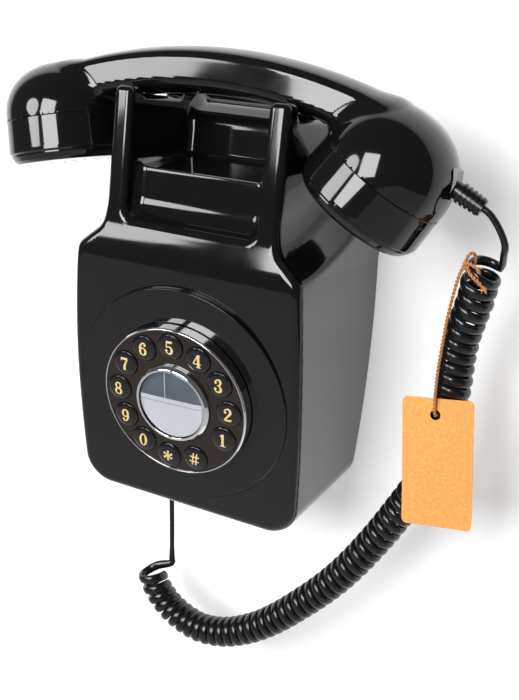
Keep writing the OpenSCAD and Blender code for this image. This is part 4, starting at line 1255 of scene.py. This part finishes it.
def twine_piece(name, meshes):
    work = bmesh.new()
    for mesh in meshes:
        work.from_mesh(mesh)
    joined = bpy.data.meshes.new(name)
    work.to_mesh(joined)
    joined.materials.append(FINISH["twine"])
    obj = bpy.data.objects.new(name, joined)
    bpy.context.scene.collection.objects.link(obj)
    settle(obj, None)
    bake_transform(obj)
    return obj


string_line = smooth_line(STRING_LINE[::-1], 0.6)
string = twine_piece(
    "tag_string_twine", [twine_along(string_line, TWINE)]
)
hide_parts("tag_string")
fray = random.Random(7)
meshes = [twine_along(smooth_line(line, 0.6), TWINE) for line in (LOOP_LINE, TAIL_LINE)]
for (x, y, z), dx, dz in ((LOOP_LINE[-1], 1, -0.5), (TAIL_LINE[-1], 0.8, -0.9)):
    for _ in range(9):
        end = (x + 2.6 * dx + fray.uniform(-1.3, 1.3), y + fray.uniform(-1, 1), z + 2.6 * dz + fray.uniform(-1.3, 1.3))
        fibre = smooth_line([(x, y, z), ((x + end[0]) / 2, (y + end[1]) / 2 - 0.3, (z + end[2]) / 2 + 0.3), end], 0.6)
        meshes.append(twine_along(fibre, TWINE, **{"Strand radius": 0.00013}))
knot = twine_piece("tag_string_knot", meshes)

# %% [markdown]
# ## Finishes for the parts that keep their construction mesh
# Screws, boards, bells and the wall plate already have the right shape, because they were drawn from plates, rods
# and blocks. They only need their finish. The record says which finish each part has, so one loop dresses them all.

# %% Dress the carried-over parts
for part in frame["record"]["subparts"]:
    mesh = frame["nodes"][part["node"]].data
    finish = FINISH.get(part["material_slot"], FINISH["black_fittings"])
    if mesh.materials:
        for k in range(len(mesh.materials)):
            mesh.materials[k] = finish
    else:
        mesh.materials.append(finish)

# %% [markdown]
# ## The wall and the light
# The telephone hangs on a plain white wall. Two lamps stand in front of it, a round one at the left and a tall
# rectangular one beside it, because those are the shapes that the glossy black reflects. The wall glows a little for
# the camera and for reflections, without adding light to the object. From behind the wall is open, and a third lamp
# lights the back. The world is white for the camera only, so that the black mouldings stay black.

# %% Wall and floor
def stage_material(name, colour, glow, mirrored=True):
    """Matt paint that glows for the camera and for reflections, or else for the camera and half as much elsewhere."""
    material, tree, shader = new_material(name, colour)
    shader.inputs["Roughness"].default_value = 0.9
    path = tree.nodes.new("ShaderNodeLightPath")
    other = path.outputs["Is Glossy Ray"] if mirrored else 0.5
    seen = maths(tree, "MAXIMUM", path.outputs["Is Camera Ray"], other)
    shader.inputs["Emission Color"].default_value = (1, 1, 1, 1)
    link(tree, maths(tree, "MULTIPLY", seen, glow), shader.inputs["Emission Strength"])
    return material


def open_from_behind(material):
    """A wall that is only there from its front, so that the back of the object can be seen and lit."""
    tree = material.node_tree
    facing = tree.nodes.new("ShaderNodeNewGeometry")
    path = tree.nodes.new("ShaderNodeLightPath")
    either = maths(tree, "MAXIMUM", facing.outputs["Backfacing"], path.outputs["Is Shadow Ray"])
    clear = tree.nodes.new("ShaderNodeBsdfTransparent")
    mix = tree.nodes.new("ShaderNodeMixShader")
    link(tree, either, mix.inputs["Fac"])
    link(tree, tree.nodes["Principled BSDF"].outputs["BSDF"], mix.inputs[1])
    link(tree, clear.outputs["BSDF"], mix.inputs[2])
    link(tree, mix.outputs["Shader"], tree.nodes["Material Output"].inputs["Surface"])


def stage_sheet(name, corners, material):
    mesh = bpy.data.meshes.new(name)
    mesh.from_pydata(corners, [], [(0, 1, 2, 3)])
    mesh.materials.append(material)
    obj = bpy.data.objects.new(name, mesh)
    bpy.context.scene.collection.objects.link(obj)
    return obj


wall_white = stage_material("wall paint", (0.8, 0.8, 0.8), 0.4)
open_from_behind(wall_white)
floor_pale = stage_material("pale floor", (0.5, 0.5, 0.5), 0.7, mirrored=False)
stage_sheet("wall", [(-3, 0.0008, -1.2), (3, 0.0008, -1.2), (3, 0.0008, 2), (-3, 0.0008, 2)], wall_white)
stage_sheet("floor", [(-3, 0, -1.2), (-3, -4, -1.2), (3, -4, -1.2), (3, 0, -1.2)], floor_pale)


# %% Lamps
def lamp(name, centre, aim, size, power, shape="RECTANGLE"):
    data = bpy.data.lights.new(name, "AREA")
    data.shape = shape
    data.size, data.size_y = size
    data.energy = power
    obj = bpy.data.objects.new(name, data)
    turn = (Vector(aim) - Vector(centre)).to_track_quat("-Z", "Y").to_matrix().to_4x4()
    obj.matrix_world = Matrix.Translation(centre) @ turn
    bpy.context.scene.collection.objects.link(obj)
    return obj


lamp("round umbrella", (-0.62, -0.86, 0.26), (0, 0, 0.05), (0.42, 0.42), 5, shape="DISK")
lamp("soft box", (-0.13, -0.95, 0.26), (0, 0, 0.05), (0.4, 0.5), 9)
lamp("back fill", (0.4, 0.9, 0.4), (0, 0, 0), (0.9, 0.9), 8)
world = bpy.data.worlds.new("studio")
bpy.context.scene.world = world
world.use_nodes = True
sky = world.node_tree
sky.nodes["Background"].inputs["Color"].default_value = (0.95, 0.97, 1.0, 1)
seen = sky.nodes.new("ShaderNodeLightPath")
link(sky, spread(sky, seen.outputs["Is Camera Ray"], 0, 1, 0.1, 1.0), sky.nodes["Background"].inputs["Strength"])
bpy.context.scene.view_settings.view_transform = "Standard"
